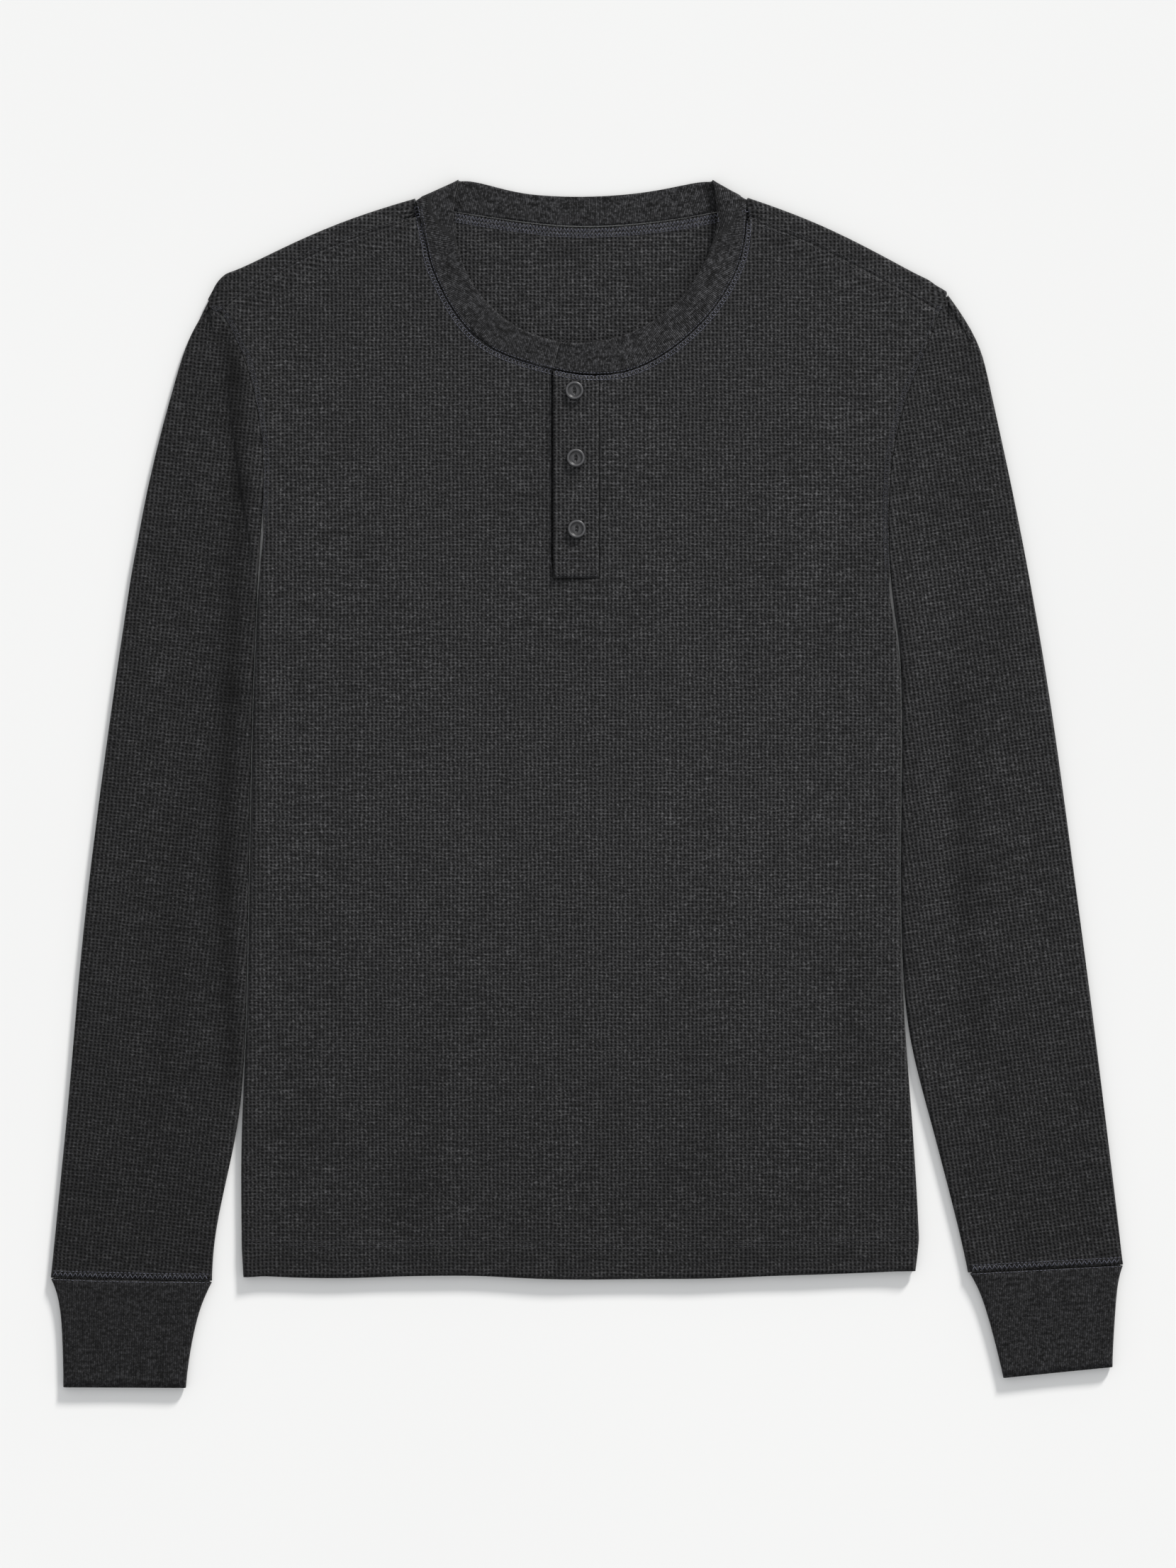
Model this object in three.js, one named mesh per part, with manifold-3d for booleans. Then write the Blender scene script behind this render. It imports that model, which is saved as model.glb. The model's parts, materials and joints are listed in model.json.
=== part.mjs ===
// A long-sleeved waffle-knit henley laid flat, face up, in millimetres.
// X runs across it, Y up towards the neck and Z away from the surface it lies on.
import * as THREE from "three";
import { mergeVertices } from "three/addons/utils/BufferGeometryUtils.js";
import Module from "manifold-3d";

// Cloth and clearances
const CLOTH = 1.6;
const RIB = 2.2;
const HEM_CLOTH = 2.1;
const HEM_DEPTH = 20;
const SEAM_GAP = 0.3;
const TURNED_TRIM = 1.6;
const LAYER_GAP = 0.5;
const FLOOR = CLOTH / 2;
const BODY_TOP = FLOOR + CLOTH + LAYER_GAP + 0.3;
const SLEEVE_TOP = BODY_TOP + 0.7;

// Folds
const EDGE_ZONE = 14;
const EDGE_RISE = 26;
const SLEEVE_FOLD = 1.5;
const CUFF_FOLD = 1.4;
const SHOULDER_FOLD = 1.6;
const BAND_FOLD = 1.6;
const DIP_ABOVE = 42;
const TURN_BELOW = 60;
const SIDE_SEAM_ANGLE = (150 * Math.PI) / 180;

// Placket and buttons
const PLACKET_LEFT = -21.4;
const PLACKET_WIDTH = 29.1;
const PLACKET_BOTTOM = 131.7;
const PLACKET_LIFT = 1.5;
const BUTTON_DIAMETER = 11.8;
const BUTTON_THICK = 2.4;
const BUTTON_RIM = 1.5;
const BUTTON_HOLE = 1.3;
const BUTTON_HOLE_SPACING = 3.2;

// Colours of the knit, the rib and the buttons
const HEATHER = 0x303032;
const RIB_HEATHER = 0x2c2c2f;
const BUTTON_GREY = 0x3a3a3d;

// A table with named columns: one object for each row.
function table(names, rows) {
  return rows.map((row) => Object.fromEntries(names.map((name, i) => [name, row[i]])));
}

// The body's side outline at each height: the armhole seam above the underarm and the side
// fold below it. Rise is half the height between the two layers there, and apart is how far
// the sleeve's inner fold lies from the side.
const LEFT_SIDE = table(["y", "x", "rise", "apart"], [
  [-316.5, -220.2, 1.7, 20.0],
  [-289.0, -221.6, 1.8, 16.6],
  [-249.0, -222.0, 1.9, 7.8],
  [-219.0, -221.5, 2.0, 1.6],
  [-195.0, -220.5, 2.1, 0],
  [-161.0, -218.4, 2.1, 0],
  [-87.0, -217.0, 2.2, 0],
  [10.0, -215.2, 2.3, 0],
  [63.0, -213.8, 2.4, 0],
  [123.0, -211.1, 2.4, 0],
  [156.0, -209.3, 2.4, 0],
  [180.0, -207.9, 2.4, 0],
  [205.0, -207.2, 2.4, 0],
  [225.0, -208.8, 2.3, 0],
  [252.0, -213.4, 2.1, 0],
  [273.0, -219.3, 1.9, 0],
  [288.0, -226.3, 1.7, 0],
  [302.0, -236.5, 1.6, 0],
  [306.0, -241.5, 1.6, 0],
]);
const RIGHT_SIDE = table(["y", "x", "rise", "apart"], [
  [-312.5, 210.7, 1.7, 33.5],
  [-288.0, 213.2, 1.8, 25.5],
  [-248.0, 211.0, 1.9, 17.6],
  [-204.0, 208.0, 2.0, 9.0],
  [-163.0, 204.6, 2.1, 1.2],
  [-140.0, 203.2, 2.1, 0],
  [-65.0, 200.9, 2.2, 0],
  [-14.0, 201.6, 2.3, 0],
  [44.0, 202.0, 2.4, 0],
  [84.0, 200.5, 2.4, 0],
  [119.0, 196.1, 2.3, 0],
  [156.0, 193.4, 2.1, 0],
  [194.0, 193.9, 1.9, 0],
  [224.0, 197.9, 1.8, 0],
  [254.0, 206.9, 1.7, 0],
  [280.0, 218.0, 1.6, 0],
  [303.0, 226.5, 1.6, 0],
  [315.0, 229.0, 1.6, 0],
]);

// The sleeves' outer outlines, and the width and drop of the pleat beside the left armhole.
const LEFT_SLEEVE = table(["y", "outer", "strip", "drop"], [
  [-316.0, -343.9, 3, 0],
  [-280.0, -340.3, 3, 0],
  [-198.0, -332.2, 3, 0],
  [-143.0, -327.6, 3, 0],
  [-88.0, -322.6, 3, 0],
  [21.0, -308.9, 3, 0],
  [75.0, -301.2, 3, 0],
  [130.0, -293.0, 3, 0.4],
  [142.0, -291.0, 3, 0.8],
  [157.0, -288.0, 5, 1.7],
  [185.0, -282.8, 12, 2.0],
  [224.0, -273.7, 16, 1.9],
  [258.0, -264.2, 14, 1.2],
  [280.0, -257.8, 9, 0.5],
  [298.0, -249.8, 4, 0],
  [306.0, -243.2, 1, 0],
]);
const RIGHT_SLEEVE = table(["y", "outer", "strip", "drop"], [
  [-309.0, 344.0, 3, 0],
  [-280.0, 340.8, 3, 0],
  [-198.0, 330.8, 3, 0],
  [-143.0, 324.0, 3, 0],
  [-88.0, 316.7, 3, 0],
  [21.0, 302.1, 3, 0],
  [75.0, 293.9, 3, 0],
  [130.0, 284.4, 5, 0.2],
  [185.0, 273.8, 8, 0.2],
  [239.0, 262.1, 8, 0],
  [266.0, 256.2, 8, 0],
  [285.0, 251.5, 6, 0],
  [298.0, 245.2, 4, 0],
  [312.0, 233.4, 1, 0],
]);

// The cuffs' corners from the sleeve seam to the wrist.
const LEFT_CUFF = table(["outerX", "outerY", "innerX", "innerY"], [
  [-343.6, -317.0, -240.4, -319.0],
  [-339.2, -328.0, -247.2, -334.0],
  [-336.9, -346.0, -251.6, -350.6],
  [-336.3, -366.0, -255.0, -369.0],
  [-335.8, -387.0, -257.1, -387.4],
]);
const RIGHT_CUFF = table(["outerX", "outerY", "innerX", "innerY"], [
  [343.8, -308.5, 245.6, -313.5],
  [340.6, -319.5, 252.0, -325.5],
  [339.2, -338.0, 258.0, -344.5],
  [338.0, -356.0, 262.6, -362.5],
  [337.2, -374.0, 267.1, -381.0],
]);

// The shoulder folds and the forward shoulder seams, left to right, with the band's peaks.
const TOP_FOLD = table(["x", "y"], [
  [-241.5, 307.0],
  [-234.3, 321.0],
  [-222.0, 330.1],
  [-194.7, 343.8],
  [-167.4, 357.4],
  [-140.1, 366.3],
  [-111.5, 375.1],
  [-83.0, 386.0],
  [80.0, 387.0],
  [101.0, 376.8],
  [132.9, 366.0],
  [160.2, 353.8],
  [187.5, 340.1],
  [214.8, 324.6],
  [229.0, 316.0],
]);
const LEFT_SHOULDER_SEAM = table(["x", "y"], [
  [-236.5, 302.0],
  [-208.4, 322.5],
  [-184.3, 336.0],
  [-160.2, 346.5],
  [-135.6, 355.0],
  [-110.6, 361.5],
]);
const RIGHT_SHOULDER_SEAM = table(["x", "y"], [
  [103.2, 361.8],
  [132.9, 351.9],
  [158.8, 339.2],
  [192.5, 321.5],
  [226.5, 303.0],
]);

// The neckband: its sewn edge and its free edge, in front from left to right and behind
// from right to left.
const BAND_SEAM = table(["x", "y"], [
  [-109.6, 373.4],
  [-103.3, 348.0],
  [-98.3, 327.8],
  [-81.0, 296.4],
  [-59.1, 277.8],
  [-21.8, 265.5],
  [3.2, 261.9],
  [28.7, 265.0],
  [55.1, 279.1],
  [80.1, 302.8],
  [97.4, 332.4],
  [101.9, 356.0],
  [102.4, 374.2],
]);
const BAND_FREE = table(["x", "y"], [
  [-83.2, 383.4],
  [-86.0, 363.8],
  [-81.0, 335.6],
  [-70.1, 315.1],
  [-46.9, 293.2],
  [-12.3, 282.3],
  [19.1, 285.5],
  [42.8, 296.4],
  [62.8, 313.7],
  [76.9, 336.9],
  [83.3, 356.0],
  [83.6, 368.0],
  [81.2, 384.0],
]);
const BACK_BAND = table(["seamX", "seamY", "freeX", "freeY"], [
  [94.5, 369.2, 79.4, 386.0],
  [80.1, 366.4, 72.0, 386.0],
  [60.0, 362.6, 55.0, 382.2],
  [37.3, 359.7, 35.0, 378.6],
  [10.0, 357.6, 10.0, 376.4],
  [-18.0, 357.9, -17.0, 376.2],
  [-44.6, 361.0, -42.0, 378.1],
  [-66.0, 364.2, -60.0, 383.0],
  [-84.0, 367.0, -73.5, 386.4],
  [-98.5, 369.6, -80.2, 386.4],
]);

// Long soft ridges and troughs of the front and the sleeves: a line from one place to
// another, half as wide as width, and a height above the cloth around it.
const FOLDS = table(["fromX", "fromY", "toX", "toY", "width", "height"], [
  [-252, 160, -259, 50, 13, -0.8],
  [-259, 50, -266, -190, 14, -0.9],
  [-276, 175, -300, -20, 12, 0.6],
  [-300, -60, -312, -250, 13, 0.6],
  [-236, 95, -240, -120, 10, 0.7],
  [-238, -160, -262, -285, 12, 0.5],
  [-322, -215, -330, -305, 8, -0.5],
  [-285, -240, -292, -312, 9, -0.6],
  [214, 250, 222, 120, 9, -0.9],
  [243, 200, 246, 20, 12, -0.7],
  [242, 15, 252, -180, 13, -0.9],
  [268, 180, 286, 30, 12, 0.6],
  [292, -10, 316, -210, 9, -0.5],
  [268, -60, 288, -250, 12, 0.6],
  [222, 70, 226, -110, 9, 0.7],
  [300, -240, 303, -306, 9, -0.6],
  [-188, 230, -120, 80, 22, 0.5],
  [168, 250, 110, 90, 24, 0.5],
  [-160, 40, -172, -180, 20, 0.4],
  [150, 20, 158, -200, 22, 0.4],
  [-60, -60, -90, -230, 26, 0.3],
  [70, 20, 84, -190, 26, 0.3],
  [-165, -300, -170, -230, 14, 0.9],
  [-100, -300, -98, -250, 13, 0.7],
  [-20, -304, -16, -240, 17, 0.9],
  [66, -302, 70, -250, 14, 0.8],
  [140, -300, 134, -245, 16, 0.6],
  [0, 250, 4, 120, 34, 0.4],
]);

// The hem's lower edge, left to right.
const HEM = table(["x", "y"], [
  [-220.2, -314.6],
  [-194.7, -316.4],
  [-153.8, -317.0],
  [-112.8, -315.7],
  [-71.9, -315.5],
  [-37.8, -317.2],
  [-3.6, -317.9],
  [44.1, -317.5],
  [78.3, -317.3],
  [119.2, -315.6],
  [160.2, -314.3],
  [194.3, -312.9],
  [210.7, -311.6],
]);

const BUTTON_PLACES = table(["name", "x", "y"], [
  ["button_top", -8.0, 251.8],
  ["button_middle", -7.1, 208.6],
  ["button_bottom", -6.5, 163.1],
]);

const smooth = (t) => THREE.MathUtils.smoothstep(t, 0, 1);
const mix = THREE.MathUtils.lerp;

// A column's value at a place given by another column, on a smooth line through the rows.
function valueAt(rows, key, name, place) {
  const last = rows.length - 1;
  if (place <= rows[0][key]) return rows[0][name];
  if (place >= rows[last][key]) return rows[last][name];
  const i = rows.findIndex((row) => row[key] > place) - 1;
  const slope = (j) => {
    const before = rows[Math.max(j - 1, 0)];
    const after = rows[Math.min(j + 1, last)];
    return (after[name] - before[name]) / (after[key] - before[key]);
  };
  const step = rows[i + 1][key] - rows[i][key];
  const t = (place - rows[i][key]) / step;
  const ease = t * t * (3 - 2 * t);
  const leave = t * (1 - t) * (1 - t) * step * slope(i);
  const arrive = t * t * (t - 1) * step * slope(i + 1);
  return mix(rows[i][name], rows[i + 1][name], ease) + leave + arrive;
}

// The two sides. Sign is -1 on the left and 1 on the right.
const SIDES = {
  left: {
    sign: -1,
    edge: LEFT_SIDE,
    sleeve: LEFT_SLEEVE,
    cuff: LEFT_CUFF,
    underarm: 140,
    crownTilt: 5,
    wristTilt: 2,
  },
  right: {
    sign: 1,
    edge: RIGHT_SIDE,
    sleeve: RIGHT_SLEEVE,
    cuff: RIGHT_CUFF,
    underarm: 100,
    crownTilt: 9,
    wristTilt: 5,
  },
};

// How far round the side fold the seam lies: flat at the armhole, on the edge at the underarm
// and underneath along the side.
function seamAngles(side, y) {
  const above = y - side.underarm;
  if (above >= 0) {
    const angle = (Math.PI / 2) * smooth(1 - above / DIP_ABOVE);
    return { front: angle, back: angle };
  }
  const front = mix(Math.PI / 2, SIDE_SEAM_ANGLE, smooth(-above / TURN_BELOW));
  return { front, back: Math.PI - front };
}

// Soft ridges and troughs at a place.
function relief(x, y) {
  let height = 0;
  for (const fold of FOLDS) {
    const dx = fold.toX - fold.fromX;
    const dy = fold.toY - fold.fromY;
    const along = ((x - fold.fromX) * dx + (y - fold.fromY) * dy) / (dx * dx + dy * dy);
    const nearest = THREE.MathUtils.clamp(along, 0, 1);
    const away = Math.hypot(x - fold.fromX - nearest * dx, y - fold.fromY - nearest * dy);
    height += fold.height * Math.exp(-((away / fold.width) ** 2));
  }
  return height;
}

// Extra height of the front beside the placket, whose two strips lie on each other.
function placketRise(x, y) {
  const right = PLACKET_LEFT + PLACKET_WIDTH;
  const beside = x < PLACKET_LEFT ? PLACKET_LEFT - x : Math.max(x - right, 0);
  const across = mix(0.55, 1, THREE.MathUtils.clamp((x - PLACKET_LEFT) / PLACKET_WIDTH, 0, 1));
  const below = Math.max(PLACKET_BOTTOM - y, 0);
  return PLACKET_LIFT * across * (1 - smooth(beside / 45)) * (1 - smooth(below / 50));
}

// Height of the middle of the front's cloth.
function frontHeight(x, y) {
  const hem = (HEM_CLOTH - CLOTH) * 0.9 * (1 - smooth((y + 316 - HEM_DEPTH) / 12));
  let height = BODY_TOP + hem + relief(x, y) + placketRise(x, y);
  for (const side of Object.values(SIDES)) {
    const inward = side.sign * (valueAt(side.edge, "y", "x", y) - x);
    const { radius, centre } = foldAt(side, y, seamAngles(side, y).front);
    height = mix(FLOOR + 2 * radius, height, smooth((inward - centre) / EDGE_RISE));
  }
  const below = valueAt(TOP_FOLD, "x", "y", x) - y;
  return mix(FLOOR + 2 * SHOULDER_FOLD, height, smooth((below - 3) / EDGE_RISE));
}

// The side fold's radius and how far its centre lies inside the outline.
function foldAt(side, y, angle) {
  const radius = valueAt(side.edge, "y", "rise", y);
  const turned = Math.sin(Math.min(angle, Math.PI / 2));
  return { radius, centre: SEAM_GAP / 2 + (radius + CLOTH / 2) * turned };
}

// A point of a body panel near its side. Share runs from 0, EDGE_ZONE inside the outline,
// to 1 at the seam.
function sidePoint(side, y, share, isFront) {
  const angles = seamAngles(side, y);
  const angle = isFront ? angles.front : angles.back;
  const outline = valueAt(side.edge, "y", "x", y);
  const { radius, centre } = foldAt(side, y, angle);
  const flat = EDGE_ZONE - centre;
  const trim = mix(SEAM_GAP / 2, TURNED_TRIM, Math.min(angle * 2, 1));
  const arc = Math.max(radius * angle - trim, 0);
  const run = share * (flat + arc);
  const turn = Math.max(run - flat, 0) / radius;
  const inset = isFront || y < side.underarm ? 0 : 2 * SEAM_GAP * share;
  const inward = run <= flat ? EDGE_ZONE - run : centre - radius * Math.sin(turn);
  const x = outline - side.sign * (inward + inset);
  const rolled = radius * (1 - Math.cos(turn));
  const flatHeight = isFront ? frontHeight(x, y) : FLOOR;
  const level = run <= flat ? flatHeight : isFront ? FLOOR + 2 * radius : FLOOR;
  return { x, y, z: level + (isFront ? -rolled : rolled), t: CLOTH };
}

// A closed solid from rows of points on the middle of the cloth, each with its thickness t.
// From the row tubeFrom on each row is a ring, whose last point is its first.
function clothSolid(rows, tubeFrom = Infinity) {
  const across = rows[0].length;
  const at = (i, j) => rows[i][j];
  const minus = (a, b) => new THREE.Vector3(a.x - b.x, a.y - b.y, a.z - b.z);
  const faces = [[], []];
  rows.forEach((row, i) =>
    row.forEach((point, j) => {
      const up = Math.min(i + 1, rows.length - 1);
      const down = Math.max(i - 1, 0);
      const ring = i >= tubeFrom;
      if (ring && j === across - 1) {
        faces.forEach((face) => face.push(face.at(-j)));
        return;
      }
      const next = Math.min(j + 1, across - 1);
      const before = ring ? (j === 0 ? across - 2 : j - 1) : Math.max(j - 1, 0);
      const normal = minus(at(i, next), at(i, before));
      normal.cross(minus(at(up, j), at(down, j))).normalize();
      const middle = new THREE.Vector3(point.x, point.y, point.z);
      faces[0].push(middle.clone().addScaledVector(normal, point.t / 2));
      faces[1].push(middle.clone().addScaledVector(normal, -point.t / 2));
    }),
  );
  const triangles = [];
  const quad = (a, b, c, d) => triangles.push(a, b, c, a, c, d);
  const [outer, inner] = faces;
  const index = (i, j) => i * across + j;
  for (let i = 0; i < rows.length - 1; i++) {
    for (let j = 0; j < across - 1; j++) {
      const ids = [index(i, j), index(i, j + 1), index(i + 1, j + 1), index(i + 1, j)];
      quad(...ids.map((id) => outer[id]));
      quad(...ids.reverse().map((id) => inner[id]));
    }
    if (i < tubeFrom) {
      const [a, b] = [index(i, 0), index(i + 1, 0)];
      const [c, d] = [index(i, across - 1), index(i + 1, across - 1)];
      quad(outer[a], outer[b], inner[b], inner[a]);
      quad(outer[d], outer[c], inner[c], inner[d]);
    }
  }
  const top = rows.length - 1;
  for (let j = 0; j < across - 1; j++) {
    const [a, b, c, d] = [index(0, j), index(0, j + 1), index(top, j), index(top, j + 1)];
    quad(outer[b], outer[a], inner[a], inner[b]);
    quad(outer[c], outer[d], inner[d], inner[c]);
  }
  const geometry = new THREE.BufferGeometry().setFromPoints(triangles);
  return facingOut(mergeVertices(geometry, 1e-4));
}

// The geometry with its faces turned outwards.
function facingOut(geometry) {
  const p = geometry.attributes.position;
  const ids = geometry.index.array;
  const corner = (i) => new THREE.Vector3().fromBufferAttribute(p, ids[i]);
  let volume = 0;
  for (let i = 0; i < ids.length; i += 3) {
    volume += corner(i).dot(corner(i + 1).cross(corner(i + 2)));
  }
  if (volume < 0) {
    for (let i = 0; i < ids.length; i += 3) {
      [ids[i], ids[i + 1]] = [ids[i + 1], ids[i]];
    }
  }
  return geometry;
}

// Row heights of the body at its left and right side, from the hem to the shoulder.
const BODY_ROWS = table(["left", "right"], [
  [-316.5, -312.5],
  [-305.0, -302.0],
  [-296.0, -293.0],
  [-292.0, -289.0],
  [-255.0, -253.0],
  [-222.0, -215.0],
  [-190.0, -175.0],
  [-145.0, -140.0],
  [-95.0, -95.0],
  [-40.0, -50.0],
  [15.0, 0.0],
  [60.0, 35.0],
  [92.0, 62.0],
  [115.0, 80.0],
  [128.0, 91.0],
  [140.0, 100.0],
  [149.0, 109.0],
  [160.0, 120.0],
  [172.0, 132.0],
  [185.0, 150.0],
  [205.0, 180.0],
  [228.0, 210.0],
  [250.0, 238.0],
  [270.0, 262.0],
  [288.0, 284.0],
  [302.0, 303.0],
]);
const SIDE_SHARES = [1, 0.91, 0.82, 0.72, 0.6, 0.42, 0.2];
const SHOULDER_COLUMNS = 4;
const BAND_LEFT_STEPS = 8;
const BAND_RIGHT_STEPS = 12;

// The outline curve through a table's places.
function curveOf(rows, x = "x", y = "y") {
  return new THREE.CatmullRomCurve3(rows.map((row) => new THREE.Vector3(row[x], row[y], 0)));
}

// Where a curve that runs left to right reaches x, as a share of its length.
function shareAt(curve, x) {
  let [low, high] = [0, 1];
  for (let i = 0; i < 40; i++) {
    const middle = (low + high) / 2;
    if (curve.getPointAt(middle).x < x) low = middle;
    else high = middle;
  }
  return low;
}

// Evenly spaced places on part of a curve, moved sideways to the curve's left.
function placesOn(curve, from, to, steps, aside = 0) {
  return Array.from({ length: steps + 1 }, (_, i) => {
    const share = mix(from, to, i / steps);
    const along = curve.getTangentAt(share);
    const place = curve.getPointAt(share);
    return { x: place.x - along.y * aside, y: place.y + along.x * aside };
  });
}

// The neck seam as sampled places, the same ones for the front and the band.
const bandSeam = curveOf(BAND_SEAM);
const bandFree = curveOf(BAND_FREE);
const seamSplit = shareAt(bandSeam, PLACKET_LEFT);
const freeSplit = shareAt(bandFree, PLACKET_LEFT + 4.5);
function neckPlaces(aside) {
  const left = placesOn(bandSeam, 0, seamSplit, BAND_LEFT_STEPS, aside);
  const right = placesOn(bandSeam, seamSplit, 1, BAND_RIGHT_STEPS, aside);
  return { left, right };
}

// Rows of a body panel. Top gives its upper edge, left to right, for the columns between
// the two side zones.
function bodyRows(top, topAt, corner, isFront, hemThickness) {
  const count = SIDE_SHARES.length;
  const columns = top.length;
  const first = top[0];
  const last = top[columns - 1];
  const inner = (side, y) => valueAt(side.edge, "y", "x", y) - side.sign * EDGE_ZONE;
  const spread = top.map((place, j) => {
    const a = inner(SIDES.left, place.y);
    const b = inner(SIDES.right, place.y);
    return { hem: j / (columns - 1), top: (place.x - a) / (b - a) };
  });
  return BODY_ROWS.map(({ left, right }, i) => {
    const share = (y, side) => (y - BODY_ROWS[0][side]) / (BODY_ROWS.at(-1)[side] - BODY_ROWS[0][side]);
    const rowShare = { left: share(left, "left"), right: share(right, "right") };
    const thickness = i <= 2 ? hemThickness : CLOTH;
    const lift = (thickness - CLOTH) / 2;
    const sidePoints = (name) => {
      const side = SIDES[name];
      const end = name === "left" ? first : last;
      const y0 = BODY_ROWS[0][name];
      return SIDE_SHARES.map((edgeShare) => {
        const cornerX = valueAt(side.edge, "y", "x", corner[name]);
        const top = topAt(mix(end.x, cornerX, edgeShare));
        const hem = mix(valueAt(HEM, "x", "y", inner(side, y0)), y0, edgeShare);
        const y = mix(hem, top, rowShare[name]);
        const point = sidePoint(side, y, edgeShare, isFront);
        const highest = isFront ? Math.min(point.y, topAt(point.x)) : point.y;
        const raised = isFront ? lift * edgeShare : lift;
        return { ...point, y: highest, z: point.z + raised, t: thickness };
      });
    };
    const middle = top.map((place, j) => {
      const f = j / (columns - 1);
      const v = mix(rowShare.left, rowShare.right, f);
      const hemX = mix(inner(SIDES.left, left), inner(SIDES.right, right), f);
      const y = mix(valueAt(HEM, "x", "y", hemX), place.y, v);
      const fraction = mix(spread[j].hem, spread[j].top, v);
      const x = mix(inner(SIDES.left, y), inner(SIDES.right, y), fraction);
      return { x, y, z: isFront ? frontHeight(x, y) : FLOOR + lift, t: thickness };
    });
    return [...sidePoints("left"), ...middle, ...sidePoints("right").reverse()];
  });
}

// Evenly spaced places on a shoulder seam, between two places across it.
function seamPlaces(rows, fromX, toX, steps, aside) {
  return Array.from({ length: steps }, (_, i) => {
    const x = mix(fromX, toX, i / (steps - 1));
    return { x, y: valueAt(rows, "x", "y", x) + aside };
  });
}

const half = SEAM_GAP / 2;
const leftInner = LEFT_SHOULDER_SEAM[0].x + EDGE_ZONE;
const rightInner = RIGHT_SHOULDER_SEAM.at(-1).x - EDGE_ZONE;

// The front, with the neck scoop in its upper edge.
function makeFront() {
  const neck = neckPlaces(-half);
  const leftSeam = seamPlaces(LEFT_SHOULDER_SEAM, leftInner, -113, SHOULDER_COLUMNS, -half);
  const rightSeam = seamPlaces(RIGHT_SHOULDER_SEAM, 106, rightInner, SHOULDER_COLUMNS, -half);
  const belowSeam = (place) => place.y < 361;
  const scoop = [...neck.left.slice(0, -1), ...neck.right].filter(belowSeam);
  const corner = (places, x) => ({ x, y: valueAt(places, "x", "y", x) - half });
  const top = [
    ...leftSeam,
    corner(LEFT_SHOULDER_SEAM, scoop[0].x - 2.2),
    ...scoop,
    corner(RIGHT_SHOULDER_SEAM, scoop.at(-1).x + 2.2),
    ...rightSeam,
  ];
  const seamAt = (x) => {
    const seam = x < 0 ? LEFT_SHOULDER_SEAM : RIGHT_SHOULDER_SEAM;
    return valueAt(seam, "x", "y", x) - 8 * SEAM_GAP;
  };
  return clothSolid(bodyRows(top, seamAt, BODY_ROWS.at(-1), true, HEM_CLOTH));
}

const WRAP_ANGLES = [0.2, 0.4, 0.6, 0.8, 1].map((share) => share * Math.PI);
const BACK_CORNER = { left: 304, right: 312 };

// The back, lying on the surface, which comes over the shoulder folds to the forward seams.
function makeBack() {
  const centre = SHOULDER_FOLD + CLOTH / 2;
  const foldPlaces = (fromX, toX) =>
    Array.from({ length: SHOULDER_COLUMNS }, (_, i) => {
      const x = mix(fromX, toX, i / (SHOULDER_COLUMNS - 1));
      return { x, y: valueAt(TOP_FOLD, "x", "y", x) - centre, wraps: true };
    });
  const neck = curveOf([...BACK_BAND].reverse(), "seamX", "seamY");
  const neckRow = placesOn(neck, 0, 1, 9, -2 * SEAM_GAP).map(({ x, y }) => ({ x, y: y - 8 }));
  const top = [
    ...foldPlaces(leftInner, -113.5),
    { x: -108.5, y: 361 },
    ...neckRow,
    { x: 100.5, y: 361 },
    ...foldPlaces(105.5, rightInner),
  ];
  const foldAtX = (x) => valueAt(TOP_FOLD, "x", "y", x) - centre;
  const rows = bodyRows(top, foldAtX, BACK_CORNER, false, HEM_CLOTH);
  const zone = SIDE_SHARES.length;
  const last = rows.at(-1);
  const wraps = last.map((_, j) => {
    const column = top[j - zone];
    return column ? Boolean(column.wraps) : true;
  });
  const seamAt = (x) => {
    const seam = x < 0 ? LEFT_SHOULDER_SEAM : RIGHT_SHOULDER_SEAM;
    return valueAt(seam, "x", "y", x) + half;
  };
  for (const angle of WRAP_ANGLES) {
    rows.push(last.map((point, j) => {
      if (!wraps[j]) return { ...point, y: point.y + (5 * angle) / Math.PI };
      const rolled = SHOULDER_FOLD * (1 - Math.cos(angle));
      return { ...point, y: point.y + SHOULDER_FOLD * Math.sin(angle), z: FLOOR + rolled };
    }));
  }
  const outerShare = (j) => Math.max(SIDE_SHARES[j] ?? 0, SIDE_SHARES[last.length - 1 - j] ?? 0);
  for (const share of [0.4, 0.7, 1]) {
    rows.push(last.map((point, j) => {
      if (!wraps[j]) return { ...point, y: point.y + 5 + 3 * share };
      const y = mix(point.y, Math.min(seamAt(point.x), point.y - 1), share);
      const { edge } = point.x < 0 ? SIDES.left : SIDES.right;
      const shift = valueAt(edge, "y", "x", y) - valueAt(edge, "y", "x", point.y);
      const x = point.x + shift * outerShare(j);
      return { ...point, x, y, z: frontHeight(x, y) };
    }));
  }
  return clothSolid(rows);
}

// Row heights of the sleeves, the body's own above and along the side and then to the cuff.
const UNDERARM_ROW = 10;
const SLEEVE_ROWS = [
  ...BODY_ROWS.slice(6).reverse(),
  { left: -222, right: -215 },
  { left: -255, right: -253 },
  { left: -285, right: -280 },
  { left: -304, right: -298 },
  { left: -318.8, right: -313.4 },
];

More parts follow.
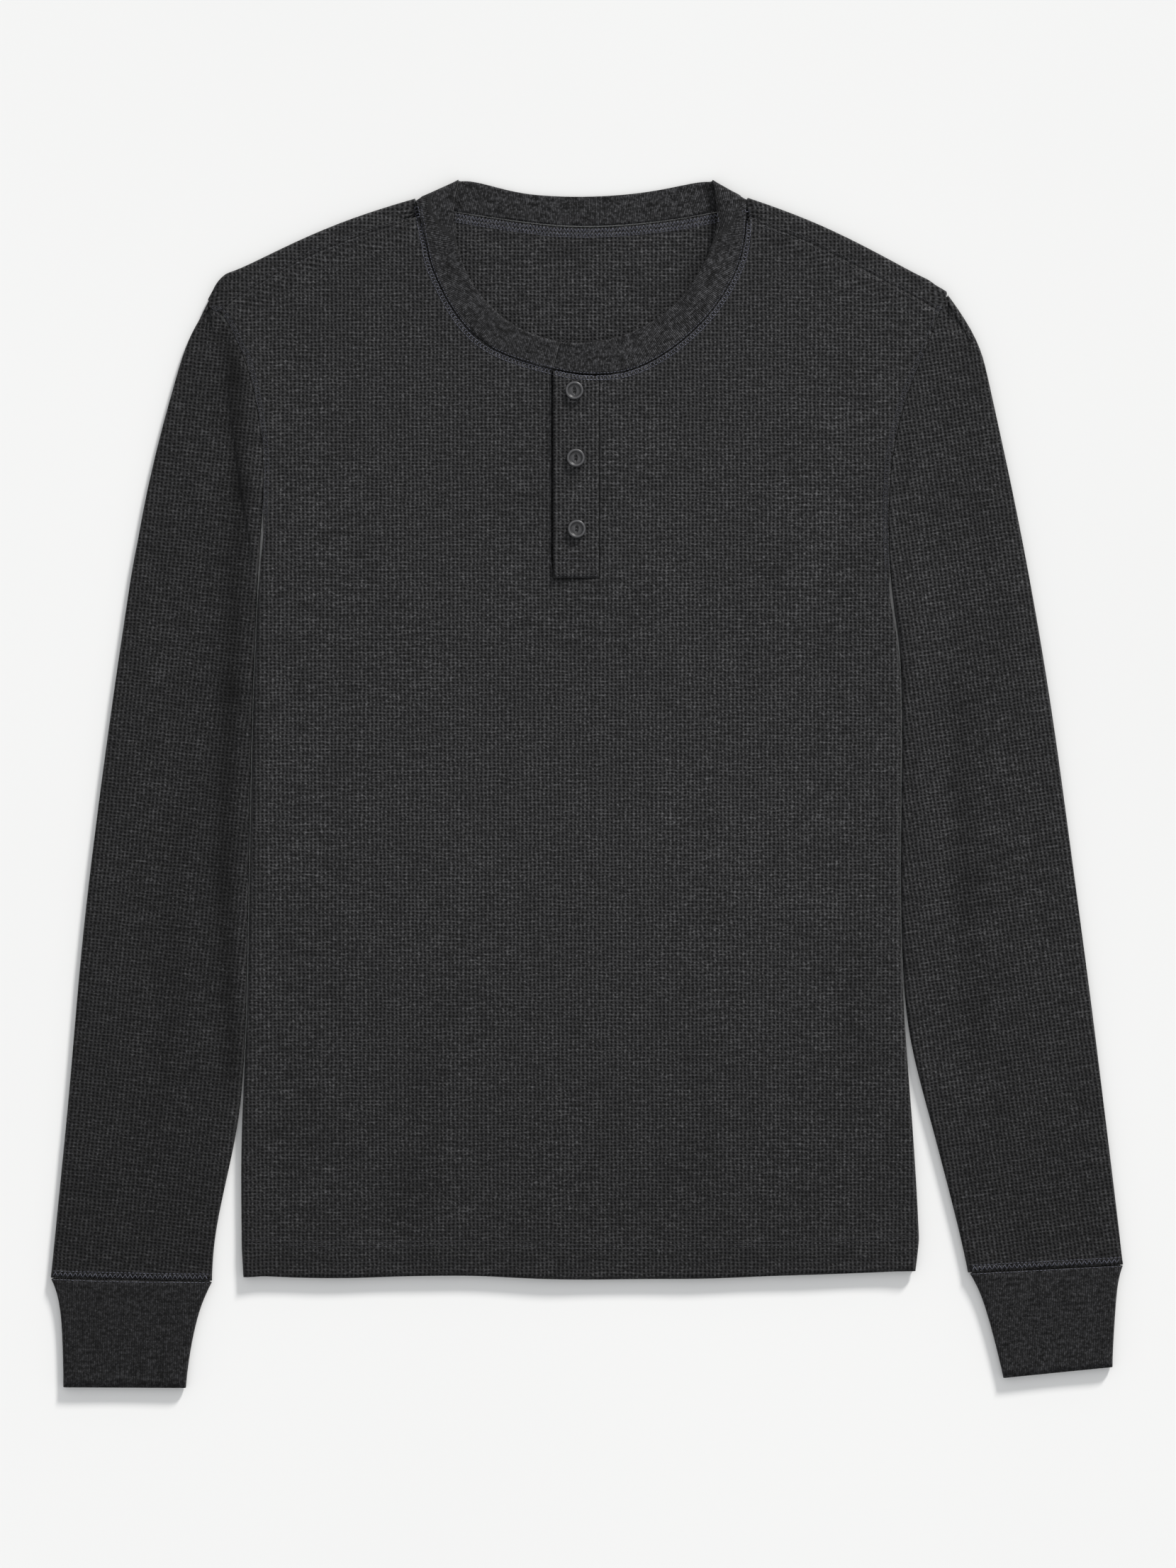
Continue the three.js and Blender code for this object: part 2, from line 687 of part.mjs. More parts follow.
// Height of the middle of a sleeve's upper layer, outward from its inner edge.
function sleeveHeight(side, outward, wide, x, y, radius) {
  const strip = valueAt(side.sleeve, "y", "strip", y);
  const drop = valueAt(side.sleeve, "y", "drop", y);
  const low = Math.max(SLEEVE_TOP + relief(x, y), BODY_TOP - 0.2);
  const step = mix(20, 3, smooth(drop * 2));
  const inner = mix(FLOOR + 2 * radius, low, smooth((outward - strip) / step));
  return mix(FLOOR + 2 * SLEEVE_FOLD, inner, smooth((wide - outward - 3) / 14));
}

// One section of a sleeve, from the front armhole seam round the outer fold to the back one.
function sleeveRow(side, y, index) {
  const above = y - side.underarm;
  const angle = seamAngles(side, Math.max(y, side.underarm)).front;
  const rise = valueAt(side.edge, "y", "rise", y);
  const radius = above >= 0 ? rise : mix(rise, SLEEVE_FOLD, smooth(-above / 40));
  const centre = half + (radius + CLOTH / 2) * Math.sin(angle);
  const innerX = valueAt(side.edge, "y", "x", y) + side.sign * valueAt(side.edge, "y", "apart", y);
  const outerX = valueAt(side.sleeve, "y", "outer", index === 0 ? y + side.crownTilt : y);
  const wide = Math.abs(outerX - innerX);
  const outerCentre = wide - SLEEVE_FOLD - CLOTH / 2;
  const arc = radius * angle;
  const strip = Math.max(valueAt(side.sleeve, "y", "strip", y) - centre, 0.8);
  const foot = arc + strip;
  const flat = outerCentre - centre + arc;
  let tilt = 0;
  if (index === 0) tilt = side.crownTilt;
  if (index === SLEEVE_ROWS.length - 1) tilt = side.wristTilt;
  const runs = [0, foot / 2, foot, foot + 1.1, foot + 2.2, foot + 3.4];
  for (const share of [0.16, 0.33, 0.5, 0.66, 0.83, 1]) runs.push(mix(foot + 3.4, flat, share));
  const place = (outward, z) => {
    const x = innerX + side.sign * outward;
    return { x, y: y + (tilt * outward) / wide, z, t: CLOTH };
  };
  const upper = runs.map((run) => {
    if (run < arc) {
      const turn = angle - run / radius;
      return place(centre - radius * Math.sin(turn), FLOOR + radius * (1 + Math.cos(turn)));
    }
    const outward = centre + run - arc;
    const x = innerX + side.sign * outward;
    return place(outward, sleeveHeight(side, outward, wide, x, y, radius));
  });
  const outerArc = [0.25, 0.5, 0.75, 1].map((share) => {
    const turn = share * Math.PI;
    const z = FLOOR + SLEEVE_FOLD * (1 + Math.cos(turn));
    return place(outerCentre + SLEEVE_FOLD * Math.sin(turn), z);
  });
  const bend = arc + 3;
  const lowerRuns = [0.25, 0.5, 0.75, 1].map((share) => (flat - bend) * share);
  for (const share of [0.35, 0.65, 0.85, 1]) lowerRuns.push(flat - bend * (1 - share));
  const lower = lowerRuns.map((run) => {
    const turn = Math.max(run - (flat - arc), 0) / radius;
    const outward = turn > 0 ? centre - radius * Math.sin(turn) : outerCentre - run;
    return place(outward, FLOOR + radius * (1 - Math.cos(turn)));
  });
  const row = [...upper, ...outerArc, ...lower];
  if (index >= UNDERARM_ROW) row[row.length - 1] = row[0];
  return row;
}

function makeSleeve(name) {
  const rows = SLEEVE_ROWS.map((row, i) => sleeveRow(SIDES[name], row[name], i));
  return clothSolid(rows, UNDERARM_ROW);
}

// A cuff, a short flattened tube of doubled rib.
function makeCuff(name) {
  const base = RIB / 2;
  const rows = SIDES[name].cuff.map((row, i) => {
    const wide = row.outerX - row.innerX;
    const place = (share, z) => ({
      x: row.innerX + wide * share,
      y: mix(row.innerY, row.outerY, share) - (i === 0 ? 0.4 : 0),
      z,
      t: RIB,
    });
    const inset = (CUFF_FOLD + RIB / 2) / Math.abs(wide);
    const flat = [0, 0.2, 0.4, 0.6, 0.8, 1].map((share) => mix(inset, 1 - inset, share));
    const turns = [0.25, 0.5, 0.75].map((share) => share * Math.PI);
    const radius = CUFF_FOLD / Math.abs(wide);
    const swell = (share) => 0.35 * Math.sin(Math.PI * share) * Math.sin(i + 1);
    return [
      place(inset - radius, base + CUFF_FOLD),
      place(inset - 0.7 * radius, base + 1.7 * CUFF_FOLD),
      ...flat.map((share) => place(share, base + 2 * CUFF_FOLD + swell(share))),
      ...turns.map((turn) =>
        place(1 - inset + radius * Math.sin(turn), base + CUFF_FOLD * (1 + Math.cos(turn))),
      ),
      ...flat.reverse().map((share) => place(share, base)),
      place(inset - 0.7 * radius, base + 0.3 * CUFF_FOLD),
      place(inset - radius, base + CUFF_FOLD),
    ];
  });
  return clothSolid(rows, 0);
}

// The neckband, one strip from the placket round the neck and back to it.
function makeNeckband() {
  const base = RIB / 2;
  const peak = base + 2 * BAND_FOLD;
  const shares = [0, 0.33, 0.67, 1];
  const strip = (seam, free, seamZ, freeZ) =>
    shares.map((share) => ({
      x: mix(seam.x, free.x, share),
      y: mix(seam.y, free.y, share),
      z: mix(seamZ, freeZ, share),
      t: RIB,
    }));
  const frontStrip = (seam, free) => {
    const toFold = smooth((seam.y - 335) / 30);
    const level = mix(frontHeight(seam.x, seam.y) + 0.3, peak, toFold);
    return strip(seam, free, level, mix(level - 0.2, peak, toFold));
  };
  const pairs = (from, to, freeFrom, freeTo, steps) => {
    const seams = placesOn(bandSeam, from, to, steps, half);
    const frees = placesOn(bandFree, freeFrom, freeTo, steps);
    return seams.map((seam, i) => frontStrip(seam, frees[i]));
  };
  const right = pairs(seamSplit + 0.0006, 1, freeSplit + 0.0006, 1, BAND_RIGHT_STEPS);
  const left = pairs(0, seamSplit - 0.0006, 0, freeSplit - 0.0006, BAND_LEFT_STEPS);
  const behind = BACK_BAND.map((row) =>
    strip({ x: row.seamX, y: row.seamY }, { x: row.freeX, y: row.freeY }, base, base),
  );
  const fold = (seam, free) =>
    [0.25, 0.5, 0.75].map((share) => {
      const out = BAND_FOLD * Math.sin(share * Math.PI) - BAND_FOLD;
      const z = base + BAND_FOLD * (1 + Math.cos(share * Math.PI));
      return strip({ x: seam.x, y: seam.y + out }, { x: free.x, y: free.y + out }, z, z);
    });
  const rightFold = fold({ x: 98.0, y: 376.2 }, { x: 80.2, y: 386.3 });
  const leftFold = fold({ x: -105.5, y: 375.6 }, { x: -82.0, y: 386.3 }).reverse();
  return clothSolid([...right, ...rightFold, ...behind, ...leftFold, ...left]);
}

// Height of the middle of the placket's upper strip.
function overlapHeight(x, y) {
  const right = PLACKET_LEFT + PLACKET_WIDTH;
  const share = THREE.MathUtils.clamp((x - PLACKET_LEFT) / PLACKET_WIDTH, 0, 1);
  const raised = frontHeight(PLACKET_LEFT, y) + CLOTH + SEAM_GAP;
  return mix(raised, frontHeight(right, y), share);
}

// One of the placket's two strips, lowered by the given depth.
function makePlacketStrip(depth) {
  const rows = [0, 0.09, 0.25, 0.45, 0.65, 0.85, 1].map((v) =>
    [0, 0.25, 0.5, 0.75, 1].map((u) => {
      const x = PLACKET_LEFT + PLACKET_WIDTH * u;
      const top = bandSeam.getPointAt(shareAt(bandSeam, x)).y - 2.5 * SEAM_GAP;
      const y = mix(PLACKET_BOTTOM, top, v);
      return { x, y, z: overlapHeight(x, y) - depth, t: CLOTH };
    }),
  );
  return clothSolid(rows);
}

const wasm = await Module();
wasm.setup();

function toSolid(geometry) {
  const bare = geometry.clone();
  bare.deleteAttribute("normal");
  bare.deleteAttribute("uv");
  const merged = mergeVertices(bare, 1e-4);
  return new wasm.Manifold(
    new wasm.Mesh({
      numProp: 3,
      vertProperties: merged.attributes.position.array,
      triVerts: new Uint32Array(merged.index.array),
    }),
  );
}

function toGeometry(solid) {
  const mesh = solid.getMesh();
  const geometry = new THREE.BufferGeometry();
  geometry.setAttribute("position", new THREE.BufferAttribute(mesh.vertProperties, 3));
  geometry.setIndex(new THREE.BufferAttribute(mesh.triVerts, 1));
  return geometry;
}

// The front with its placket slit cut out.
function makeSlitFront() {
  const high = 320 - PLACKET_BOTTOM;
  const slit = new THREE.BoxGeometry(PLACKET_WIDTH + 2 * SEAM_GAP, high, 40);
  slit.translate(PLACKET_LEFT + PLACKET_WIDTH / 2, PLACKET_BOTTOM - SEAM_GAP + high / 2, 0);
  return toGeometry(toSolid(makeFront()).subtract(toSolid(slit)));
}

// A button turned about Z, with a rim, a dish and two holes.
function makeButton() {
  const radius = BUTTON_DIAMETER / 2;
  const dish = BUTTON_THICK - 0.9;
  const profile = [
    [0, 0],
    [radius - 1, 0],
    [radius, 0.9],
    [radius - 0.15, BUTTON_THICK - 0.4],
    [radius - 0.6, BUTTON_THICK],
    [radius - BUTTON_RIM, BUTTON_THICK - 0.25],
    [radius - BUTTON_RIM - 0.7, dish],
    [0, dish],
  ].map(([x, y]) => new THREE.Vector2(x, y));
  let button = toSolid(new THREE.LatheGeometry(profile, 20).rotateX(Math.PI / 2));
  for (const sign of [-1, 1]) {
    const hole = new THREE.CylinderGeometry(BUTTON_HOLE / 2, BUTTON_HOLE / 2, 8, 6);
    hole.rotateX(Math.PI / 2).translate(0, (sign * BUTTON_HOLE_SPACING) / 2, 0);
    button = button.subtract(toSolid(hole));
  }
  return toGeometry(button);
}

function makeMesh(name, geometry, color, roughness) {
  const material = new THREE.MeshStandardMaterial({ color, roughness, metalness: 0 });
  const mesh = new THREE.Mesh(geometry, material);
  mesh.name = name;
  return mesh;
}

const henley = new THREE.Group();
henley.add(makeMesh("back", makeBack(), HEATHER, 0.95));
henley.add(makeMesh("front", makeSlitFront(), HEATHER, 0.95));
henley.add(makeMesh("sleeve_left", makeSleeve("left"), HEATHER, 0.95));
henley.add(makeMesh("sleeve_right", makeSleeve("right"), HEATHER, 0.95));
henley.add(makeMesh("cuff_left", makeCuff("left"), RIB_HEATHER, 0.92));
henley.add(makeMesh("cuff_right", makeCuff("right"), RIB_HEATHER, 0.92));
henley.add(makeMesh("neckband", makeNeckband(), RIB_HEATHER, 0.92));
henley.add(makeMesh("placket_overlap", makePlacketStrip(0), HEATHER, 0.95));
henley.add(makeMesh("placket_underlap", makePlacketStrip(CLOTH + SEAM_GAP), HEATHER, 0.95));
for (const { name, x, y } of BUTTON_PLACES) {
  const button = makeMesh(name, makeButton(), BUTTON_GREY, 0.4);
  button.position.set(x, y, overlapHeight(x, y) + CLOTH / 2 + SEAM_GAP + 0.2);
  henley.add(button);
}

// The origin lies under the middle of the whole.
const box = new THREE.Box3().setFromObject(henley, true);
const middle = box.getCenter(new THREE.Vector3());
henley.position.set(-middle.x, -middle.y, -box.min.z);

export default henley;
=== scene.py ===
"""Finished look of a waffle-knit henley laid flat: cloth, seams, threads, buttons, floor and light."""

import json
import math
import random

import bmesh
import bpy
from mathutils import Matrix, Vector
from mathutils.bvhtree import BVHTree

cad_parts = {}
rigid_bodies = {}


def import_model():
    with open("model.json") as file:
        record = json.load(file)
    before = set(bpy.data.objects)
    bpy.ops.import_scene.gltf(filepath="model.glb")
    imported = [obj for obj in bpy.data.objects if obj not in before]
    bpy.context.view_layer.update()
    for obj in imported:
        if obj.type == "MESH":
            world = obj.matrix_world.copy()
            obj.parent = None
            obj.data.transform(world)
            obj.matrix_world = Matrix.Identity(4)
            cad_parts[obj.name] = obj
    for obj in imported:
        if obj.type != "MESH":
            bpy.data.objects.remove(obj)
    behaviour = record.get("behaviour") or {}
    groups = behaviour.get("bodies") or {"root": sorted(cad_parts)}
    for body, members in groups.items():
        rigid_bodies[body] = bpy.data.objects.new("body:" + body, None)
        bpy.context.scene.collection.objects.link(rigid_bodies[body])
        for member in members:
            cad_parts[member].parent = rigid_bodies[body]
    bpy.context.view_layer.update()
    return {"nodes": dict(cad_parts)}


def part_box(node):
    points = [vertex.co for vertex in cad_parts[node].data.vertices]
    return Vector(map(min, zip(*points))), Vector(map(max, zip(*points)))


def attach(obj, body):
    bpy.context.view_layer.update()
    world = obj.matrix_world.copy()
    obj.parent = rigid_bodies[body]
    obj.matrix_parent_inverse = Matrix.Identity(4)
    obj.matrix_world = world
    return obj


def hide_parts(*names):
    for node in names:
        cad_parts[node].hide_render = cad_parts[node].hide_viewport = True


bl_info = {
    "name": "Henley Laid Flat",
    "version": (1, 0, 0),
    "blender": (4, 5, 0),
    "location": "View3D > Sidebar > Henley",
    "description": "Builds the cloth, seams, threads and buttons of a henley that lies on a pale surface",
    "category": "Object",
}

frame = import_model()

MM = 0.001

# How the solids' loose triangles become a coarse mesh that can be smoothed.
JOIN_DISTANCE = 2e-6
QUAD_FACE_ANGLE = math.radians(40)
QUAD_SHAPE_ANGLE = math.radians(80)
SHARP_EDGE = math.radians(50)
# Two sharp edges that meet at a wider angle than this run on, and make no corner.
STRAIGHT = math.cos(math.radians(150))

# Steps in mm along a seam's curve, and between the places that a distance from it is measured to.
CURVE_STEP = 1.5
LINE_STEP = 2.0

# Rays that find the cloth's top start at this height and are this long, in metres.
RAY_START = 0.05
RAY_LENGTH = 0.06

# Fine creases of the upper layer, in mm: a line from one place to another, its half width and
# its height, which is below zero for a trough.
CREASES = [
    # by the left armhole
    (-212, 236, -186, 196, 5.0, 0.55),
    (-206, 205, -176, 178, 6.5, -0.5),
    (-204, 176, -172, 160, 5.5, 0.45),
    # by the right armhole
    (196, 226, 170, 190, 5.5, 0.55),
    (192, 196, 160, 166, 7.0, -0.55),
    (192, 160, 164, 146, 5.0, 0.4),
    # chest and waist
    (-150, 120, -60, 92, 9.0, 0.35),
    (60, 104, 150, 70, 10.0, -0.35),
    (-170, -20, -90, -48, 9.0, 0.35),
    (92, -70, 178, -100, 9.5, 0.35),
    (-60, -150, 30, -168, 11.0, -0.3),
    (-182, -120, -128, -160, 8.0, -0.4),
    (120, -180, 186, -206, 8.5, 0.4),
    # below the placket
    (-24, 126, -34, 60, 6.0, 0.4),
    (12, 124, 26, 64, 6.5, -0.4),
    # left sleeve
    (-262, 226, -236, 150, 6.0, 0.6),
    (-278, 150, -262, 90, 6.0, -0.5),
    (-296, 60, -268, 20, 7.0, 0.5),
    (-306, -20, -284, -76, 7.0, -0.5),
    (-318, -120, -290, -150, 6.0, 0.5),
    (-330, -232, -300, -250, 5.0, 0.55),
    (-333, -262, -296, -276, 4.5, -0.55),
    (-336, -288, -290, -298, 4.0, 0.5),
    # right sleeve
    (244, 236, 222, 176, 6.0, 0.6),
    (262, 166, 232, 116, 6.5, -0.5),
    (284, 70, 252, 26, 7.0, 0.5),
    (300, -30, 268, -70, 7.0, -0.5),
    (314, -120, 284, -150, 6.0, 0.5),
    (328, -226, 296, -246, 5.0, 0.55),
    (332, -256, 294, -270, 4.5, -0.55),
    (336, -284, 288, -292, 4.0, 0.5),
]

# Fine creases of the layer that lies on the surface. They only rise, and the underside stays flat
# around them.
UNDER_CREASES = [
    (-150, 180, -60, 40, 12.0, 0.3),
    (60, 140, 150, -20, 13.0, 0.3),
    (-120, -120, -20, -220, 12.0, 0.3),
    (40, -150, 140, -240, 11.0, 0.3),
    (-290, 60, -310, -120, 8.0, 0.3),
    (284, 40, 306, -140, 8.0, 0.3),
]

# Painted shade in hollows of the cloth: beside the side folds, on the lower body, at the neckband's right end and
# along the hem's stitch line, in mm: a line from one place to another, its half width and the share of the tone that
# it takes.
PAINTED_SHADE_LINES = [
    # beside the left side fold, from the armhole down
    (-231, 290, -226, 262, 5.0, 0.5),
    (-226, 262, -222, 188, 7.0, 0.55),
    (-222, 188, -228, 60, 8.0, 0.52),
    (-228, 60, -232, -60, 8.0, 0.55),
    (-232, -60, -227, -190, 6.5, 0.55),
    # left sleeve and left edge of the body
    (-262, -20, -272, -200, 9.0, 0.16),
    (-214, 120, -218, -60, 4.0, 0.2),
    # beside the right side fold
    (236, 60, 243, -60, 10.0, 0.22),
    (243, -60, 250, -170, 9.0, 0.24),
    (206, 130, 208, -120, 4.0, 0.14),
    (206, 250, 205, 130, 5.0, 0.16),
    # lower body
    (170, -120, 168, -200, 12.0, 0.14),
    (-98, -130, -110, -300, 12.0, 0.1),
    (70, -140, 76, -300, 12.0, 0.08),
    # neckband's right end and the hem's stitch line
    (80, 384, 84, 363, 5.0, 0.35),
    (84, 363, 62, 312, 5.0, 0.35),
    (-205, -306, 200, -303, 3.0, 0.15),
]
# Painted light and shade: how pale the cloth is drawn along the garment, from the cuffs up, darker towards the hem
# and cuffs, and across it, from left to right, darker on the sleeves, most on the left one.
PAINTED_LIGHT_UP = [(-390, 0.72), (-310, 0.72), (-250, 0.77), (-150, 0.9), (-20, 1.0), (250, 1.0), (390, 0.96)]
PAINTED_LIGHT_ACROSS = [
    (-345, 0.68), (-236, 0.7), (-218, 0.92), (-120, 0.98), (60, 1.04), (190, 1.06), (240, 0.88), (345, 0.86),
]

# No crease reaches into these boxes, placket and neck, in mm: left, lower, right, upper.
CALM_BOXES = [(-32, 122, 18, 272), (-118, 252, 112, 392)]
# Over how many mm from a box the creases come in.
CALM_EDGE = 12.0
# Heights in mm between which the upper layer's creases come in and the lower layer's go out.
UPPER_LAYER = (1.8, 4.0)
UNDER_LAYER = (1.8, 2.4)
UNDER_SHARE = 0.8

# Seam lines in mm, each from its first end to its last.
BAND_SEAM = [
    (-107.6, 370.0), (-103.3, 348.0), (-98.3, 327.8), (-81.0, 296.4), (-59.1, 277.8), (-21.8, 265.5),
    (3.2, 261.9), (28.7, 265.0), (55.1, 279.1), (80.1, 302.8), (97.4, 332.4), (101.9, 356.0), (100.8, 368.0),
]
BACK_SEAM = [
    (84.0, 366.0), (60.0, 361.4), (37.3, 358.5), (10.0, 356.4), (-18.0, 356.7), (-44.6, 359.8),
    (-66.0, 363.0), (-84.0, 366.2),
]
LEFT_SHOULDER = [
    (-236.5, 302.0), (-208.4, 322.5), (-184.3, 336.0), (-160.2, 346.5), (-135.6, 355.0), (-111.6, 361.2),
]
RIGHT_SHOULDER = [(104.2, 361.4), (132.9, 351.9), (158.8, 339.2), (192.5, 321.5), (226.5, 303.0)]
LEFT_ARMHOLE = [
    (-241, 304), (-232, 298), (-222.5, 279), (-219, 273), (-213.4, 252), (-208.8, 224.5), (-207, 205),
    (-207.9, 179.5), (-210, 150),
]
RIGHT_ARMHOLE = [
    (228, 305), (218.9, 280.5), (207, 254.6), (197.9, 224.5), (193.8, 194), (193.4, 156), (196, 122),
]
HEM_LINE = [
    (-217.5, -294.6), (-153.8, -297.0), (-71.9, -295.6), (-3.6, -297.9), (78.3, -297.3), (160.2, -294.4),
    (208.5, -291.8),
]
LEFT_CUFF_SEAM = [(-342.4, -316.6), (-292.0, -318.0), (-242.0, -318.6)]
RIGHT_CUFF_SEAM = [(247.0, -313.0), (296.0, -310.4), (342.4, -308.0)]
# Where the line that the band's ribs follow turns to its back part, and at its other end back again.
BAND_TURNS = ((94.0, 370.0), (-96.0, 370.0))
# The stitched box at the placket's foot, in mm: left, upper, right, lower.
PLACKET_FOOT = (-20.0, 144.0, 6.2, 133.4)

# The slit's left edge lies in this box, in mm: left, lower, right, upper.
SLIT_EDGE = (-23.4, 136.0, -21.45, 264.6)
# How far the edge is drawn back, and over how many mm from the slit's foot that comes in.
SLIT_OPENING = 1.1
SLIT_EASE = 8.0
# The front's edge above this height is drawn up by the trim, less from 4 to 12 mm away from the seam.
SHOULDERS_ABOVE = 290.0
SHOULDER_TRIM = 2.0
SHOULDER_REACH = (4.0, 12.0)
# A place is drawn out by its nearness to a corner, from 0 to 1, times this, and by 1 at most.
CORNER_FLATNESS = 1.6
# Corners drawn out to meet their neighbours: node, place, reach and shift, in mm.
CORNERS = [
    ("back", 229.0, 311.0, 10.0, 2.6, -0.6),
    ("back", -241.0, 309.0, 8.0, -1.4, -1.4),
    ("back", -111.5, 372.0, 9.0, 3.3, 0.8),
    ("back", 101.2, 373.0, 9.0, -3.0, 0.8),
    ("sleeve_right", 231.0, 310.0, 9.0, -1.4, 1.6),
    ("sleeve_left", -243.0, 306.0, 9.0, 0.4, 2.4),
]

# Name, middle in mm, and the turn of the eye in degrees.
BUTTONS = [
    ("button_top", -8.0, 251.8, 4.0),
    ("button_middle", -7.1, 208.6, 0.0),
    ("button_bottom", -6.5, 163.1, -5.0),
]
# Radius and height in mm of a button's upper face, from the middle to the rim and down to the underside.
BUTTON_FACE = [
    (0.0, 1.5), (0.3, 1.5), (0.6, 1.5), (0.9, 1.5), (1.2, 1.5), (1.5, 1.49), (1.8, 1.48), (2.1, 1.46), (2.4, 1.43),
    (2.7, 1.39), (3.0, 1.34), (3.4, 1.26), (3.7, 1.3), (3.95, 1.6), (4.2, 2.0), (4.5, 2.3), (4.85, 2.4), (5.2, 2.36),
    (5.5, 2.2), (5.75, 1.9), (5.88, 1.5), (5.9, 1.0),
    (5.7, 0.45), (5.2, 0.1), (4.6, 0.0), (2.0, 0.0), (0.0, 0.0),
]
BUTTON_STEPS = 72
# The spun profile's ends on the axis are joined within this distance, in mm.
POLE_DISTANCE = 0.001
# The eye-shaped recess is cut into the face inside this radius and above this height, in mm.
DISH_RADIUS = 4.0
DISH_LOWEST = 1.0
# The eye: half its width and length, its depth and the width of its sloped wall, in mm.
EYE_WIDTH = 1.35
EYE_LENGTH = 3.1
EYE_DEPTH = 0.55
EYE_WALL = 0.35
# The two holes: their places along the eye, radius, wall and depth, in mm.
HOLES = (-1.05, 1.05)
HOLE_RADIUS = 0.75
HOLE_WALL = 0.25
HOLE_DEPTH = 0.9
# What lies lower is the underside. Painted shade darkens a recess, up to its full share from this depth on, in mm.
UNDERSIDE_BELOW = 0.1
RECESS_SHADE_DEPTH = 0.6
RECESS_SHADE_SHARE = 0.92
# Radius in mm and paleness of the button's face, painted light and shade: pale on the rim, dark in the groove and at
# the edge.
BUTTON_PAINTED_LIGHT = [
    (0.0, 0.5), (2.3, 0.56), (3.2, 0.4), (3.8, 0.1), (4.1, 0.22), (4.6, 0.75), (5.1, 0.88), (5.6, 0.45), (5.9, 0.1),
]
# The threads between a button's holes: their places across and half their length, in mm.
BUTTON_THREADS = (-0.3, 0.0, 0.3)
BUTTON_THREAD_HALF = 0.95

# Distance from one loop of the rib to the next, in metres.
LOOP_PITCH = 0.0009

# Thickness of a stitch along it, as a share of the thread's radius, and its arch over the cloth.
STITCH_SIDES = 5
STITCH_FORM = [(0.0, 0.35), (0.22, 0.9), (0.5, 1.0), (0.78, 0.9), (1.0, 0.35)]
STITCH_ARCH = [(0.0, -0.3), (0.22, 0.25), (0.5, 0.55), (0.78, 0.25), (1.0, -0.3)]

# The stage: half the floor's width in metres, a pale room, a low sun, and a camera overhead that
# stands this far off the garment's middle, with its sensor and lens in mm and its reach in metres.
FLOOR_HALF = 6.0
ROOM_COLOUR = (0.98, 0.99, 1.0, 1.0)
ROOM_STRENGTH = 0.645
SUN_STRENGTH = 3.75
SUN_SPREAD = math.radians(9)
SUN_COLOUR = (1.0, 0.985, 0.96)
SUN_WAY = (-0.46, -0.89, -0.36)
CAMERA_MIDDLE = (0.0007, -0.0002)
SENSOR_HEIGHT = 36.0
LENS = 107.3
CAMERA_REACH = 20.0


def colour_setting(name, description, default):
    """A colour setting."""
    return bpy.props.FloatVectorProperty(
        name=name, description=description, default=default, min=0.0, max=1.0, size=3, subtype="COLOR"
    )


def length_setting(name, description, default):
    """A length setting."""
    return bpy.props.FloatProperty(name=name, description=description, default=default, min=0.0, unit="LENGTH")


class HenleySettings(bpy.types.PropertyGroup):
    """Sizes, strengths and colours of the finished look"""

    # The knits' dark colours carry the painted shade in the pits and between the ribs.
    waffle_dark: colour_setting("Waffle dark", "The knit's pits", (0.0028, 0.0027, 0.0028))
    waffle_pale: colour_setting("Waffle pale", "The knit's palest flecks", (0.122, 0.122, 0.127))
    rib_dark: colour_setting("Rib dark", "Between the ribs", (0.0055, 0.0054, 0.0056))
    rib_pale: colour_setting("Rib pale", "The rib's palest flecks", (0.098, 0.098, 0.104))
    band_thread_dark: colour_setting("Band thread dark", "Thread of band and cuffs, dark", (0.045, 0.047, 0.062))
    band_thread_pale: colour_setting("Band thread pale", "Thread of band and cuffs, pale", (0.15, 0.155, 0.2))
    arm_thread_dark: colour_setting("Arm thread dark", "Thread of the armholes, dark", (0.018, 0.019, 0.026))
    arm_thread_pale: colour_setting("Arm thread pale", "Thread of the armholes, pale", (0.062, 0.064, 0.082))
    seam_thread_dark: colour_setting("Seam thread dark", "Thread of the other seams, dark", (0.02, 0.02, 0.023))
    seam_thread_pale: colour_setting("Seam thread pale", "Thread of the other seams, pale", (0.05, 0.05, 0.058))
    # The button's dark colour carries the painted shade of its recess and groove, its pale colour the painted light
    # on its rim and dish.
    button_dark: colour_setting("Button dark", "The button's recess and groove", (0.0035, 0.0035, 0.004))
    button_pale: colour_setting("Button pale", "The button's rim and dish", (0.095, 0.095, 0.1))
    surface_dark: colour_setting("Surface dark", "The surface where it is darkest", (0.872, 0.874, 0.872))
    surface_pale: colour_setting("Surface pale", "The surface where it is palest", (0.89, 0.892, 0.89))
    waffle_across: length_setting("Waffle across", "Width of one knitted cell", 0.0026)
    waffle_along: length_setting("Waffle along", "Length of one knitted cell", 0.0023)
    rib_pitch: length_setting("Rib pitch", "Distance from one rib to the next", 0.00115)
    relief: length_setting("Relief", "Depth of the knit's cells", 0.0007)
    thread_radius: length_setting("Thread radius", "Half the thickness of a sewing thread", 0.00021)
    camera_height: length_setting("Camera height", "Camera's height above the surface", 3.0)
    crease_share: bpy.props.FloatProperty(
        name="Crease share", description="Strength of the fine creases", default=1.3, min=0.0, max=1.5,
        subtype="FACTOR",
    )
    smooth_levels: bpy.props.IntProperty(
        name="Smooth levels", description="How often the cloth's faces are divided", default=2, min=1, max=3
    )


def settings():
    """The sizes and colours of this scene."""
    return bpy.context.scene.henley


